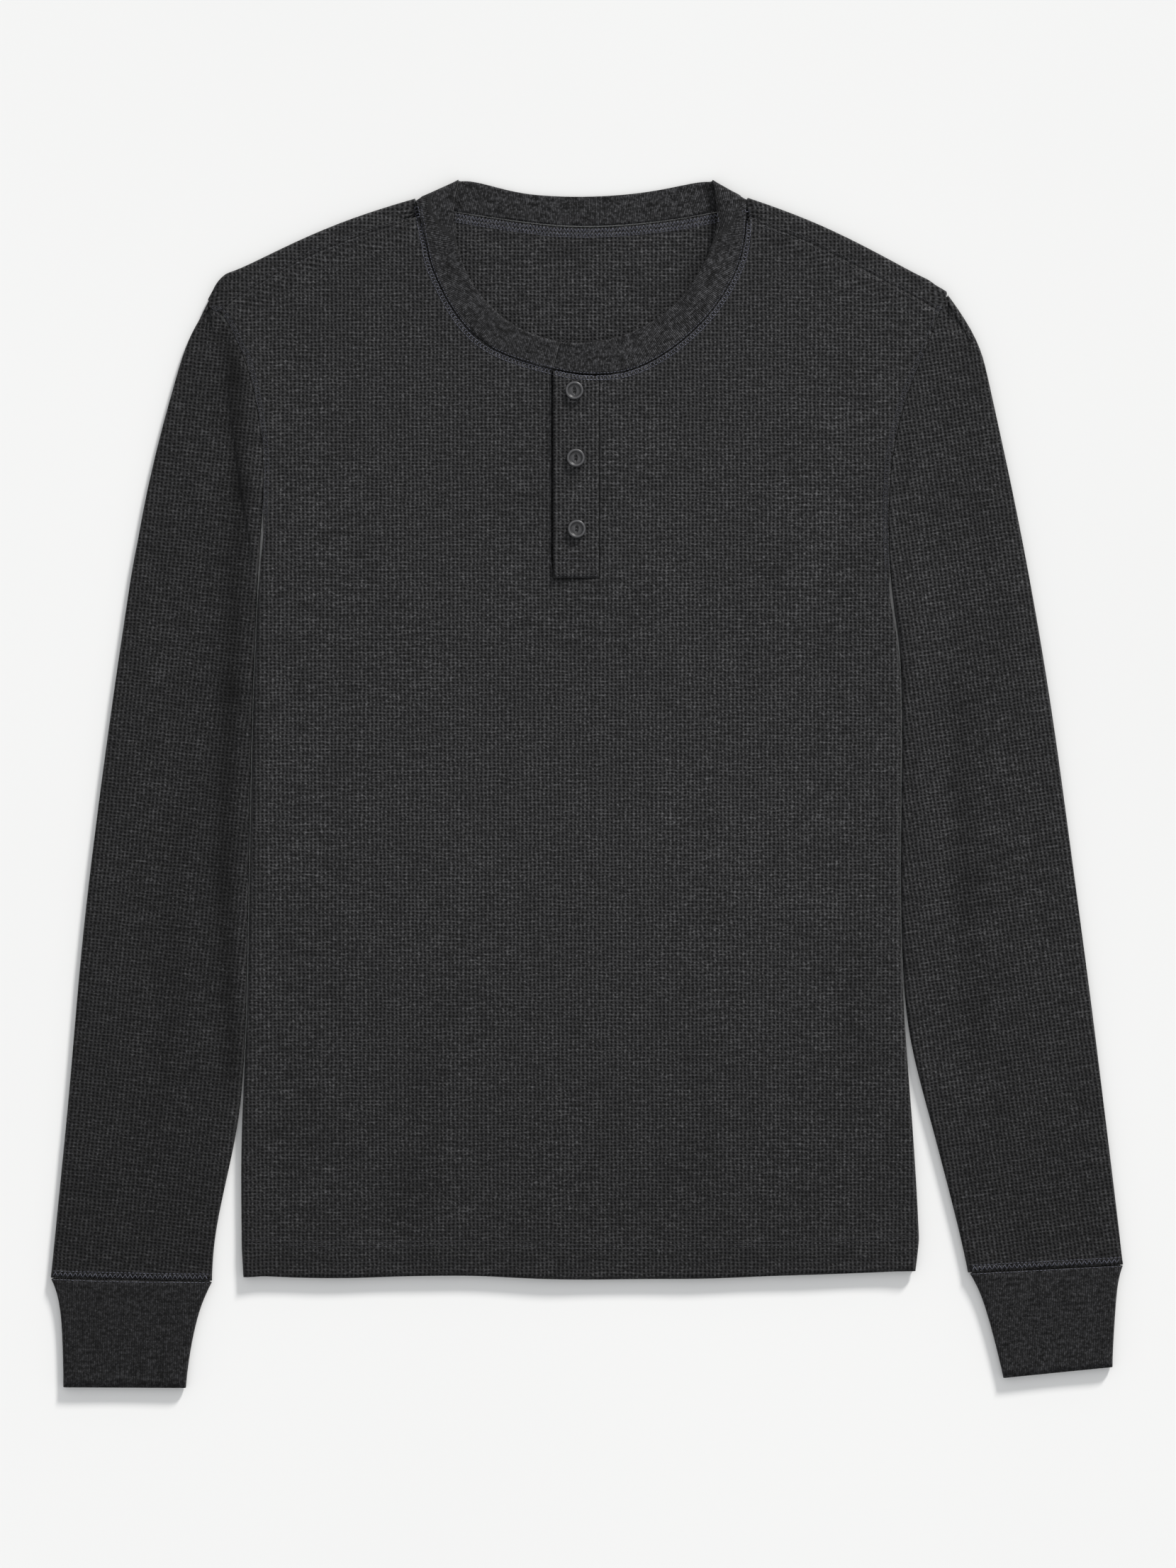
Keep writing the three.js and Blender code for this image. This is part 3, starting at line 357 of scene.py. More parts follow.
class Sock:
    """A socket's value that takes part in sums with others and with numbers."""

    def __init__(self, tree, socket=None):
        self.tree = tree
        self.socket = socket

    def node(self, kind, options=(), inputs=(), output=0):
        """Adds a node: its type, its options and then its inputs by name or place."""
        made = self.tree.nodes.new(kind)
        for name, value in dict(options).items():
            setattr(made, name, value)
        for name, value in dict(inputs).items():
            if isinstance(value, Sock):
                self.tree.links.new(value.socket, made.inputs[name])
            else:
                made.inputs[name].default_value = value
        return Sock(self.tree, made.outputs[output])

    def math(self, operation, *values):
        """A sum of one kind with its values in order."""
        return self.node("ShaderNodeMath", {"operation": operation}, dict(enumerate(values)))

    def __add__(self, other):
        return self.math("ADD", self, other)

    __radd__ = __add__

    def __mul__(self, other):
        return self.math("MULTIPLY", self, other)

    def __sub__(self, other):
        return self.math("SUBTRACT", self, other)

    def __rsub__(self, other):
        return self.math("SUBTRACT", other, self)

    def __pow__(self, other):
        return self.math("POWER", self, other)

    def wave(self, pitch):
        """A wave from 0 to 1 along this distance in mm, its crests a pitch in metres apart."""
        return self.math("COSINE", self * (2 * math.pi * MM / pitch)) * 0.5 + 0.5

    def between(self, low, high):
        """0 at low, 1 at high, kept within both."""
        return self.node("ShaderNodeMapRange", {"clamp": True}, {"Value": self, "From Min": low, "From Max": high})

    def noise(self, scale, detail=2.0, roughness=0.5):
        """Noise at this place."""
        return self.node(
            "ShaderNodeTexNoise", {}, {"Vector": self, "Scale": scale, "Detail": detail, "Roughness": roughness}
        )

    def stretched(self, across, along, deep=1.0):
        """This place with each direction drawn out by its own factor."""
        return self.node("ShaderNodeVectorMath", {"operation": "MULTIPLY"}, {0: self, 1: (across, along, deep)})

    def part(self, axis):
        """One direction of this place."""
        return self.node("ShaderNodeSeparateXYZ", {}, {0: self}, axis)

    def blend(self, low, high):
        """A colour from low to high by this share."""
        first, second, result = 6, 7, 2  # the mix node's sockets for colours
        colours = {0: self, first: (*low, 1.0), second: (*high, 1.0)}
        return self.node("ShaderNodeMix", {"data_type": "RGBA"}, colours, result)


def new_material(name, on_cloth):
    """A material, its shader and the place on it: in mm on the cloth, or in metres in the object."""
    material = bpy.data.materials.new(name)
    material.use_nodes = True
    tree = material.node_tree
    if on_cloth:
        place = Sock(tree).node("ShaderNodeAttribute", {"attribute_name": "grain"}, {}, "Vector")
    else:
        place = Sock(tree).node("ShaderNodeTexCoord", {}, {}, "Object")
    return material, tree.nodes["Principled BSDF"], place


def painted_shade_of(place):
    """The painted light and shade that the mesh holds at each place, as its tone."""
    return place.node("ShaderNodeAttribute", {"attribute_name": "tone"}, {}, "Fac")


def join(shader, name, value):
    """Gives a shader's input a varying value."""
    value.tree.links.new(value.socket, shader.inputs[name])


def relief_into(shader, height, depth, strength=0.85):
    """Gives a shader the relief of a height from 0 to 1 and its depth in metres."""
    bump = height.node("ShaderNodeBump", {}, {"Height": height, "Distance": depth, "Strength": strength}, "Normal")
    join(shader, "Normal", bump)


def matt_yarn(shader):
    """Sets what is even all over a dull, slightly hairy yarn."""
    shader.inputs["Roughness"].default_value = 0.95
    shader.inputs["Specular IOR Level"].default_value = 0.12
    shader.inputs["Sheen Weight"].default_value = 0.05


def waffle_material():
    """Waffle knit in charcoal heather: pits between raised wales, pale flecks and streaks across, with painted shade
    in the pits and the cloth's painted light and shade.
    """
    chosen = settings()
    material, shader, place = new_material("Waffle Knit", on_cloth=True)
    sway = place.noise(0.16, 3.0) - 0.5
    drift = place.stretched(1.0, 1.0, 3.0).noise(0.11, 3.0) - 0.5
    across = place.part("X") + sway * 1.9
    along = place.part("Y") + drift * 2.4
    wale = across.wave(chosen.waffle_across)
    course = along.wave(chosen.waffle_along)
    pit = (wale**1.3) * (course**0.9)
    yarn = place.stretched(1.3, 0.9).noise(1.0, 3.0, 0.65)
    fleck = place.stretched(0.42, 0.8).noise(1.0, 3.0, 0.7).between(0.48, 0.7)
    spark = place.stretched(0.5, 0.9).noise(2.1, 1.0, 0.5).between(0.62, 0.78)
    streak = place.stretched(0.07, 0.7).noise(1.0, 3.0, 0.6).between(0.36, 0.68)
    cloud = place.noise(0.025, 2.0).between(0.3, 0.7)
    height = 1.0 - pit * 0.95 - wale * 0.25 + yarn * 0.6
    lively = 0.35 + streak * 0.7 + cloud * 0.3
    # Painted shade: the pits and the low sides of the wales are drawn darker.
    knit = (1.0 - pit * 0.92) * (0.6 + (1.0 - wale) * 0.4)
    pale = 0.06 + fleck * lively * 0.7 + spark * 0.4 + streak * 0.16 + yarn * 0.2
    # The mesh's tone is painted light and shade.
    shade = (painted_shade_of(place) * knit * pale).between(0.0, 1.0)
    join(shader, "Base Color", shade.blend(chosen.waffle_dark, chosen.waffle_pale))
    matt_yarn(shader)
    relief_into(shader, height, chosen.relief)
    return material


def rib_material():
    """Fine rib in charcoal heather, ribs along the second direction of the cloth, with painted shade between the ribs
    and the cloth's painted light and shade.
    """
    chosen = settings()
    material, shader, place = new_material("Rib Knit", on_cloth=True)
    sway = place.noise(0.2, 2.0) - 0.5
    across = place.part("X") + sway * 0.5
    rib = across.wave(chosen.rib_pitch)
    loop = (place.part("Y") + sway).wave(LOOP_PITCH)
    yarn = place.stretched(1.2, 1.2).noise(1.2, 3.0, 0.6)
    fleck = place.stretched(0.6, 0.5).noise(1.0, 3.0, 0.7).between(0.47, 0.68)
    streak = place.stretched(0.12, 0.5).noise(1.0, 3.0, 0.6).between(0.38, 0.7)
    height = rib + loop * 0.18 + yarn * 0.3
    pale = fleck * 0.95 + streak * 0.36 + yarn * 0.08
    # Painted shade between the ribs, times the mesh's tone, which is painted light and shade.
    shade = (painted_shade_of(place) * (0.35 + rib * 0.65) * pale).between(0.0, 1.0)
    join(shader, "Base Color", shade.blend(chosen.rib_dark, chosen.rib_pale))
    matt_yarn(shader)
    relief_into(shader, height, chosen.relief * 0.6)
    return material


def thread_material(name, dark, pale):
    """Sewing thread with a slight change of tone along it."""
    material, shader, place = new_material(name, on_cloth=False)
    tone = place.noise(700.0, 2.0).between(0.35, 0.7)
    join(shader, "Base Color", tone.blend(dark, pale))
    shader.inputs["Roughness"].default_value = 0.7
    return material


def button_material():
    """Satin plastic, slightly mottled, with fine turned marks and painted light and shade: pale on the rim, dark in
    the groove, the recess and at the edge.
    """
    material, shader, place = new_material("Button", on_cloth=False)
    mottle = place.noise(420.0, 3.0).between(0.3, 0.7)
    wear = place.noise(2600.0, 2.0)
    # The mesh's tone is painted light and shade, by radius and in the recess.
    shade = (painted_shade_of(place) * 0.85 + mottle * 0.15).between(0.0, 1.0)
    join(shader, "Base Color", shade.blend(settings().button_dark, settings().button_pale))
    join(shader, "Roughness", wear * 0.12 + 0.33)
    return material


def surface_material():
    """Pale smooth surface with a faint cloudiness."""
    material, shader, place = new_material("Pale Surface", on_cloth=False)
    cloud = place.noise(1.5, 2.0).between(0.3, 0.7)
    join(shader, "Base Color", cloud.blend(settings().surface_dark, settings().surface_pale))
    shader.inputs["Roughness"].default_value = 0.9
    shader.inputs["Specular IOR Level"].default_value = 0.1
    return material


def grain_flat(turn=0.0):
    """Places on a panel whose grain is turned by some degrees from straight up."""
    cosine = math.cos(math.radians(turn))
    sine = math.sin(math.radians(turn))

    def grain(spot):
        x = spot.x / MM
        y = spot.y / MM
        return Vector((x * cosine + y * sine, y * cosine - x * sine, spot.z / MM))

    return grain


def resample(points, step, closed_end=True):
    """Places along a smooth line through points, a step apart, with the way it goes at each."""
    knots = [Vector((*p, 0.0)) if len(p) == 2 else Vector(p) for p in points]
    knots = [2 * knots[0] - knots[1], *knots, 2 * knots[-1] - knots[-2]]
    fine = []
    for a, b, c, d in zip(knots, knots[1:], knots[2:], knots[3:]):
        count = max(4, int((c - b).length / CURVE_STEP))
        for i in range(count):
            t = i / count
            fine.append(
                0.5 * (2 * b + (c - a) * t + (2 * a - 5 * b + 4 * c - d) * t * t + (3 * b - a - 3 * c + d) * t**3)
            )
    fine.append(knots[-2])
    spots = []
    run = 0.0
    wanted = 0.0
    for start, end in zip(fine, fine[1:]):
        length = (end - start).length
        if length == 0:
            continue
        while wanted <= run + length:
            spots.append((start.lerp(end, (wanted - run) / length), (end - start) / length))
            wanted += step
        run += length
    if closed_end:
        spots.append((fine[-1], (fine[-1] - fine[-2]).normalized()))
    return spots


def grain_along(points):
    """Places on a band: the run along its seam, and the distance from it."""
    spots = resample(points, LINE_STEP)

    def grain(spot):
        here = Vector((spot.x / MM, spot.y / MM, 0.0))
        nearest = min(range(len(spots)), key=lambda i: (spots[i][0] - here).length_squared)
        place, way = spots[nearest]
        offset = here - place
        return Vector((nearest * LINE_STEP + offset.dot(way), way.cross(offset).z, spot.z / MM))

    return grain


def eased(value, low, high):
    """0 up to low, 1 from high on, and straight between them."""
    return max(0.0, min(1.0, (value - low) / (high - low)))


def from_line(x, y, x0, y0, x1, y1):
    """The nearest place of a line, as a share of its length, and how far away that is in mm."""
    dx, dy = x1 - x0, y1 - y0
    along = max(0.0, min(1.0, ((x - x0) * dx + (y - y0) * dy) / (dx * dx + dy * dy)))
    return along, math.hypot(x - x0 - along * dx, y - y0 - along * dy)


def crease_height(x, y, creases):
    """Height in mm of the creases at a place."""
    edge = 1.0
    for left, lower, right, upper in CALM_BOXES:
        gap = math.hypot(max(left - x, 0.0, x - right), max(lower - y, 0.0, y - upper))
        edge = min(edge, gap / CALM_EDGE)
    if edge == 0.0:
        return 0.0
    height = 0.0
    for x0, y0, x1, y1, width, rise in creases:
        along, away = from_line(x, y, x0, y0, x1, y1)
        taper = 0.35 + 0.65 * math.sin(math.pi * (0.15 + 0.7 * along))
        height += rise * taper * math.exp(-((away / width) ** 2))
    return height * edge


def on_line(table, place):
    """The value at a place, straight between the rows of a table."""
    for (near, a), (far, b) in zip(table, table[1:]):
        if place <= far:
            return a + (b - a) * max(0.0, place - near) / (far - near)
    return table[-1][1]


def painted_light_and_shade(x, y):
    """The painted light and shade of the cloth at a place in mm: paler in the upper middle, darker towards the hem,
    on the sleeves and in the hollows beside folds.
    """
    tone = on_line(PAINTED_LIGHT_UP, y) * on_line(PAINTED_LIGHT_ACROSS, x)
    for x0, y0, x1, y1, width, share in PAINTED_SHADE_LINES:
        away = from_line(x, y, x0, y0, x1, y1)[1]
        tone *= 1.0 - share * math.exp(-((away / width) ** 2))
    return tone


def coarse_form(source, name):
    """A solid's loose triangles as a mesh of larger faces, with its sharp edges and corners marked."""
    bm = bmesh.new()
    bm.from_mesh(source)
    bmesh.ops.remove_doubles(bm, verts=bm.verts, dist=JOIN_DISTANCE)
    bmesh.ops.join_triangles(
        bm, faces=bm.faces, angle_face_threshold=QUAD_FACE_ANGLE, angle_shape_threshold=QUAD_SHAPE_ANGLE
    )
    bmesh.ops.recalc_face_normals(bm, faces=bm.faces)
    crease = bm.edges.layers.float.new("crease_edge")
    for edge in bm.edges:
        if len(edge.link_faces) == 2 and edge.calc_face_angle() > SHARP_EDGE:
            edge[crease] = 1.0
    corner = bm.verts.layers.float.new("crease_vert")
    for vertex in bm.verts:
        sharp = [edge for edge in vertex.link_edges if edge[crease] > 0]
        ways = [(edge.other_vert(vertex).co - vertex.co).normalized() for edge in sharp]
        straight = any(a.dot(b) < STRAIGHT for i, a in enumerate(ways) for b in ways[i + 1 :])
        if len(ways) > 1 and not straight:
            vertex[corner] = 1.0
    coarse = bpy.data.meshes.new(name)
    bm.to_mesh(coarse)
    bm.free()
    return coarse


def smooth_in_mesh(piece):
    """Smooths a piece between its sharp edges, for good."""
    coarse = piece.data
    smooth = piece.modifiers.new("Smooth", "SUBSURF")
    smooth.levels = smooth.render_levels = settings().smooth_levels
    bpy.context.view_layer.update()
    graph = bpy.context.evaluated_depsgraph_get()
    piece.data = bpy.data.meshes.new_from_object(piece.evaluated_get(graph))
    piece.data.name = piece.name
    piece.modifiers.clear()
    bpy.data.meshes.remove(coarse)
    for name in [a.name for a in piece.data.attributes if a.name in ("crease_edge", "crease_vert")]:
        piece.data.attributes.remove(piece.data.attributes[name])


def dress(mesh, node_name, grain):
    """Gives a cloth its creases, the places of its knit and its painted light and shade, and draws out its corners.
    """
    share = settings().crease_share
    corners = [row[1:] for row in CORNERS if row[0] == node_name]
    mesh.attributes.new("grain", "FLOAT_VECTOR", "POINT")
    mesh.attributes.new("tone", "FLOAT", "POINT")
    # Adding an attribute moves the earlier ones, so both are fetched after it.
    places = mesh.attributes["grain"].data
    painted_shades = mesh.attributes["tone"].data
    for index, vertex in enumerate(mesh.vertices):
        spot = vertex.co.copy()
        x, y, z = spot / MM
        places[index].vector = grain(spot)
        # The tone is painted light and shade.
        painted_shades[index].value = painted_light_and_shade(x, y)
        rise = crease_height(x, y, CREASES) * eased(z, *UPPER_LAYER)
        rise += crease_height(x, y, UNDER_CREASES) * (1.0 - eased(z, *UNDER_LAYER)) * UNDER_SHARE
        vertex.co.z = spot.z + rise * share * MM
        for corner_x, corner_y, reach, dx, dy in corners:
            near = max(0.0, 1.0 - math.hypot(x - corner_x, y - corner_y) / reach)
            pull = min(1.0, CORNER_FLATNESS * near)
            vertex.co.x += dx * pull * MM
            vertex.co.y += dy * pull * MM


def cloth_piece(node_name, piece_name, material, grain):
    """A smooth cloth on a node's form, with its creases and the places of its knit."""
    coarse = coarse_form(frame["nodes"][node_name].data, piece_name + "_coarse")
    piece = bpy.data.objects.new(piece_name, coarse)
    bpy.context.scene.collection.objects.link(piece)
    smooth_in_mesh(piece)
    dress(piece.data, node_name, grain)
    piece.data.materials.clear()
    piece.data.materials.append(material)
    piece.data.polygons.foreach_set("use_smooth", [True] * len(piece.data.polygons))
    piece.data.update()
    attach(piece, "root")
    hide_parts(node_name)
    return piece


def open_slit(mesh):
    """Draws the slit's left edge back a little, so that the placket's edge stands free of it."""
    left, lower, right, upper = SLIT_EDGE
    for vertex in mesh.vertices:
        x, y = vertex.co.x / MM, vertex.co.y / MM
        if left < x < right and lower < y < upper:
            ease = min(1.0, (y - lower) / SLIT_EASE)
            vertex.co.x -= SLIT_OPENING * ease * MM


def close_shoulders(mesh):
    """Draws the front's upper edges up to the shoulder seams."""
    spots = [place for seam in (LEFT_SHOULDER, RIGHT_SHOULDER) for place, _ in resample(seam, LINE_STEP)]
    for vertex in mesh.vertices:
        here = Vector((vertex.co.x / MM, vertex.co.y / MM, 0.0))
        if here.y < SHOULDERS_ABOVE:
            continue
        away = min((place - here).length for place in spots)
        vertex.co.y += SHOULDER_TRIM * (1.0 - eased(away, *SHOULDER_REACH)) * MM


def shared_material(name, make):
    """The material of this name, made where it isn't there yet."""
    return bpy.data.materials.get(name) or make()


class Surface:
    """The height of the cloth's top at any place."""

    def __init__(self, names):
        graph = bpy.context.evaluated_depsgraph_get()
        self.trees = [BVHTree.FromObject(bpy.data.objects[name], graph) for name in names]

    def height(self, x, y):
        """Height in mm at a place in mm, or None off the cloth."""
        best = None
        for tree in self.trees:
            hit = tree.ray_cast(Vector((x * MM, y * MM, RAY_START)), Vector((0, 0, -1)), RAY_LENGTH)[0]
            if hit is not None and (best is None or hit.z > best):
                best = hit.z
        return None if best is None else best / MM


def piece_of(mesh, material):
    """An object for a finished mesh, under the mesh's own name."""
    mesh.materials.append(material)
    made = bpy.data.objects.new(mesh.name, mesh)
    bpy.context.scene.collection.objects.link(made)
    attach(made, "root")
    return made


def mesh_from(bm, name):
    """Ends a bmesh as a mesh with smooth faces that point outwards."""
    bmesh.ops.recalc_face_normals(bm, faces=bm.faces)
    for face in bm.faces:
        face.smooth = True
    mesh = bpy.data.meshes.new(name)
    bm.to_mesh(mesh)
    bm.free()
    return mesh


def stitch_form():
    """One stitch of thread with a radius of 1, from 0 to 1 along Z."""
    bm = bmesh.new()
    turn = Matrix.Rotation(-math.pi / 2, 4, "Z")
    bmesh.ops.create_circle(bm, segments=STITCH_SIDES, radius=STITCH_FORM[0][1], matrix=turn)
    rim = list(bm.edges)
    for (place, thickness), (following, wanted) in zip(STITCH_FORM, STITCH_FORM[1:]):
        made = bmesh.ops.extrude_edge_only(bm, edges=rim)["geom"]
        rim = [item for item in made if isinstance(item, bmesh.types.BMEdge)]
        ring = [item for item in made if isinstance(item, bmesh.types.BMVert)]
        bmesh.ops.scale(bm, verts=ring, vec=(wanted / thickness, wanted / thickness, 1.0))
        bmesh.ops.translate(bm, verts=ring, vec=(0.0, 0.0, following - place))
    bmesh.ops.holes_fill(bm, edges=bm.edges)
    return mesh_from(bm, "stitch_form")


class Stitches:
    """Many small stitches that lie on the cloth and become one piece."""

    def __init__(self, surface, radius):
        self.surface = surface
        self.radius = radius
        self.form = stitch_form()
        self.bm = bmesh.new()

    def add(self, x0, y0, x1, y1, lift=0.0, thick=1.0):
        """One stitch from place to place, in mm, arched a little over the cloth."""
        z0 = self.surface.height(x0, y0)
        z1 = self.surface.height(x1, y1)
        if z0 is None or z1 is None:
            return
        start = Vector((x0, y0, z0))
        end = Vector((x1, y1, z1))
        way = (end - start).normalized()
        side = Vector((-way.y, way.x, 0.0)).normalized()
        up = way.cross(side)
        radius = self.radius / MM * thick
        first = len(self.bm.verts)
        self.bm.from_mesh(self.form)
        for vertex in self.bm.verts[first:]:
            across, above, share = vertex.co
            middle = start.lerp(end, share) + Vector((0.0, 0.0, on_line(STITCH_ARCH, share) * radius + lift))
            vertex.co = (middle + (side * across + up * above) * radius) * MM

    def line(self, points, step, offset=0.0, share=0.72, sway=0.0, thick=1.0):
        """A row of stitches along a line."""
        for place, way in resample(points, step, closed_end=False):
            side = Vector((-way.y, way.x, 0.0))
            shift = offset + random.uniform(-sway, sway)
            start = place + side * shift
            end = start + way * step * share
            self.add(start.x, start.y, end.x, end.y, thick=thick)

    def ladder(self, points, step, inner, outer, thick=1.0):
        """Rungs across a line from one offset to the other, with a thread along each side."""
        for place, way in resample(points, step, closed_end=False):
            side = Vector((-way.y, way.x, 0.0))
            a = place + side * inner
            b = place + side * outer + way * step * random.uniform(-0.08, 0.08)
            self.add(a.x, a.y, b.x, b.y, thick=thick)
        for offset in (inner, outer):
            self.line(points, step, offset, share=0.8, sway=0.06, thick=thick)

    def zigzag(self, points, step, inner, outer, thick=1.0):
        """A thread to and fro across a line."""
        spots = resample(points, step, closed_end=False)
        for number, ((place, way), (following, _)) in enumerate(zip(spots, spots[1:])):
            side = Vector((-way.y, way.x, 0.0))
            near, far = (inner, outer) if number % 2 == 0 else (outer, inner)
            a = place + side * near
            b = following + side * far
            self.add(a.x, a.y, b.x, b.y, thick=thick)

    def piece(self, name, material, slot_name):
        """The stitches as one object."""
        bpy.data.meshes.remove(self.form)
        if not self.bm.verts:
            raise RuntimeError(name + ": no stitch lies on the cloth")
        return piece_of(mesh_from(self.bm, name), material)


def thread(name, dark, pale):
    """Sewing thread of one name and two colours."""
    return shared_material(name, lambda: thread_material(name, dark, pale))


def button_mesh(name, x, y, base, turn):
    """A turned button with a raised rim, a dish, and an eye-shaped recess with its holes."""
    bm = bmesh.new()
    profile = [bm.verts.new((radius, 0.0, height)) for radius, height in BUTTON_FACE]
    lines = [bm.edges.new(pair) for pair in zip(profile, profile[1:])]
    bmesh.ops.spin(
        bm, geom=profile + lines, cent=(0, 0, 0), axis=(0, 0, 1), angle=2 * math.pi, steps=BUTTON_STEPS,
        use_merge=True,
    )
    bmesh.ops.remove_doubles(bm, verts=bm.verts, dist=POLE_DISTANCE)
    # The tone layer holds painted light and shade: pale on the rim, dark in the groove, at the edge and in the recess
    # and holes.
    tone = bm.verts.layers.float.new("tone")
    for vertex in bm.verts:
        radius = vertex.co.xy.length
        depth = eye_depth(vertex.co.x, vertex.co.y)
        if radius < DISH_RADIUS and vertex.co.z > DISH_LOWEST:
            vertex.co.z -= depth
        dip = depth if vertex.co.z > UNDERSIDE_BELOW else 0.0
        vertex[tone] = on_line(BUTTON_PAINTED_LIGHT, radius) * (1.0 - min(1.0, dip / RECESS_SHADE_DEPTH) * RECESS_SHADE_SHARE)
    place = Matrix.Translation((x, y, base)) @ Matrix.Rotation(math.radians(turn), 4, "Z")
    bmesh.ops.transform(bm, matrix=Matrix.Scale(MM, 4) @ place, verts=bm.verts)
    return mesh_from(bm, name)


def eye_depth(across, along):
    """How deep the button's recess and its two holes are at a place, in mm."""
    lens = 1.0 - (abs(along) / EYE_LENGTH) ** 2
    edge = lens * EYE_WIDTH - abs(across)
    depth = EYE_DEPTH * max(0.0, min(1.0, edge / EYE_WALL)) if lens > 0 else 0.0
    for hole in HOLES:
        away = math.hypot(across, along - hole)
        depth += HOLE_DEPTH * max(0.0, min(1.0, (HOLE_RADIUS - away) / HOLE_WALL))
    return depth


class HENLEY_OT_body(bpy.types.Operator):
    """Make the front and the back"""

    bl_idname = "henley.body"
    bl_label = "Body"

    def execute(self, context):
        material = shared_material("Waffle Knit", waffle_material)
        back = cloth_piece("back", "cloth_back", material, grain_flat())
        front = cloth_piece("front", "cloth_front", material, grain_flat())
        open_slit(front.data)
        close_shoulders(front.data)
        return {"FINISHED"}


class HENLEY_OT_sleeves(bpy.types.Operator):
    """Make the two sleeves"""

    bl_idname = "henley.sleeves"
    bl_label = "Sleeves"

    def execute(self, context):
        material = shared_material("Waffle Knit", waffle_material)
        for side, turn, area in (("left", -6.0, 0.111), ("right", 8.5, 0.116)):
            made = cloth_piece("sleeve_" + side, "cloth_sleeve_" + side, material, grain_flat(turn))
        return {"FINISHED"}


class HENLEY_OT_cuffs(bpy.types.Operator):
    """Make the two rib cuffs"""

    bl_idname = "henley.cuffs"
    bl_label = "Cuffs"

    def execute(self, context):
        material = shared_material("Rib Knit", rib_material)
        for side, turn, area in (("left", 1.0, 0.0118), ("right", 3.0, 0.0107)):
            made = cloth_piece("cuff_" + side, "cloth_cuff_" + side, material, grain_flat(turn))
        return {"FINISHED"}


class HENLEY_OT_neckband(bpy.types.Operator):
    """Make the rib neckband"""

    bl_idname = "henley.neckband"
    bl_label = "Neckband"

    def execute(self, context):
        material = shared_material("Rib Knit", rib_material)
        to_back, to_front = BAND_TURNS
        ring = [*BAND_SEAM, to_back, *BACK_SEAM[1:-1], to_front]
        made = cloth_piece("neckband", "cloth_neckband", material, grain_along(ring))
        return {"FINISHED"}


class HENLEY_OT_placket(bpy.types.Operator):
    """Make the two placket strips"""

    bl_idname = "henley.placket"
    bl_label = "Placket"

    def execute(self, context):
        material = shared_material("Waffle Knit", waffle_material)
        for name, below in (("placket_underlap", "cloth_back"), ("placket_overlap", "cloth_placket_underlap")):
            made = cloth_piece(name, "cloth_" + name, material, grain_flat())
        return {"FINISHED"}


class HENLEY_OT_threads(bpy.types.Operator):
    """Sew the seams' threads on the cloth"""

    bl_idname = "henley.threads"
    bl_label = "Threads"

    def execute(self, context):
        random.seed(7)
        chosen = settings()
        radius = chosen.thread_radius
        surface = Surface([o.name for o in bpy.data.objects if o.name.startswith("cloth_")])
        blue = thread("Blue Grey Thread", chosen.band_thread_dark, chosen.band_thread_pale)
        grey = thread("Grey Thread", chosen.arm_thread_dark, chosen.arm_thread_pale)
        dark = thread("Dark Thread", chosen.seam_thread_dark, chosen.seam_thread_pale)

        band = Stitches(surface, radius)
        band.ladder(BAND_SEAM, step=2.2, inner=-0.6, outer=-3.1, thick=1.1)
        band.line(BAND_SEAM, step=2.2, offset=1.2, share=0.7, sway=0.1, thick=0.8)
        band.zigzag(BACK_SEAM, step=1.1, inner=0.0, outer=2.6, thick=0.9)
        band.zigzag(BACK_SEAM, step=1.1, inner=2.9, outer=5.2, thick=0.9)
        band.line(BACK_SEAM, step=2.2, offset=5.6, share=0.8, sway=0.1, thick=0.8)
        band.piece("thread_neckband", blue, "rib_knit")

        armholes = Stitches(surface, radius)
        armholes.ladder(LEFT_ARMHOLE, step=2.3, inner=0.9, outer=3.3, thick=0.8)
        armholes.ladder(RIGHT_ARMHOLE, step=2.3, inner=-0.9, outer=-3.3, thick=0.8)
        armholes.piece("thread_armholes", grey, "waffle_knit")

        cuffs = Stitches(surface, radius)
        for seam in (LEFT_CUFF_SEAM, RIGHT_CUFF_SEAM):
            cuffs.zigzag(seam, step=1.6, inner=0.9, outer=3.6, thick=0.9)
            cuffs.line(seam, step=2.4, offset=4.3, share=0.75, sway=0.1, thick=0.8)
            cuffs.line(seam, step=2.4, offset=-1.3, share=0.75, sway=0.1, thick=0.8)
        cuffs.piece("thread_cuffs", blue, "rib_knit")

        joins = Stitches(surface, radius)
        for seam in (LEFT_SHOULDER, RIGHT_SHOULDER):
            joins.line(seam, step=2.6, offset=1.6, share=0.7, sway=0.12)
            joins.line(seam, step=2.6, offset=-1.8, share=0.7, sway=0.12)
        joins.line(HEM_LINE, step=3.0, offset=0.0, share=0.7, sway=0.1, thick=0.9)
        joins.line(HEM_LINE, step=3.0, offset=2.6, share=0.7, sway=0.1, thick=0.8)
        left, upper, right, lower = PLACKET_FOOT
        box = [(left, upper), (right, upper), (right, lower), (left, lower), (left, upper)]
        for start, end in zip(box, box[1:]):
            joins.line([start, end], step=2.4, offset=0.0, share=0.74, sway=0.04)
        joins.piece("thread_seams", dark, "waffle_knit")
        return {"FINISHED"}


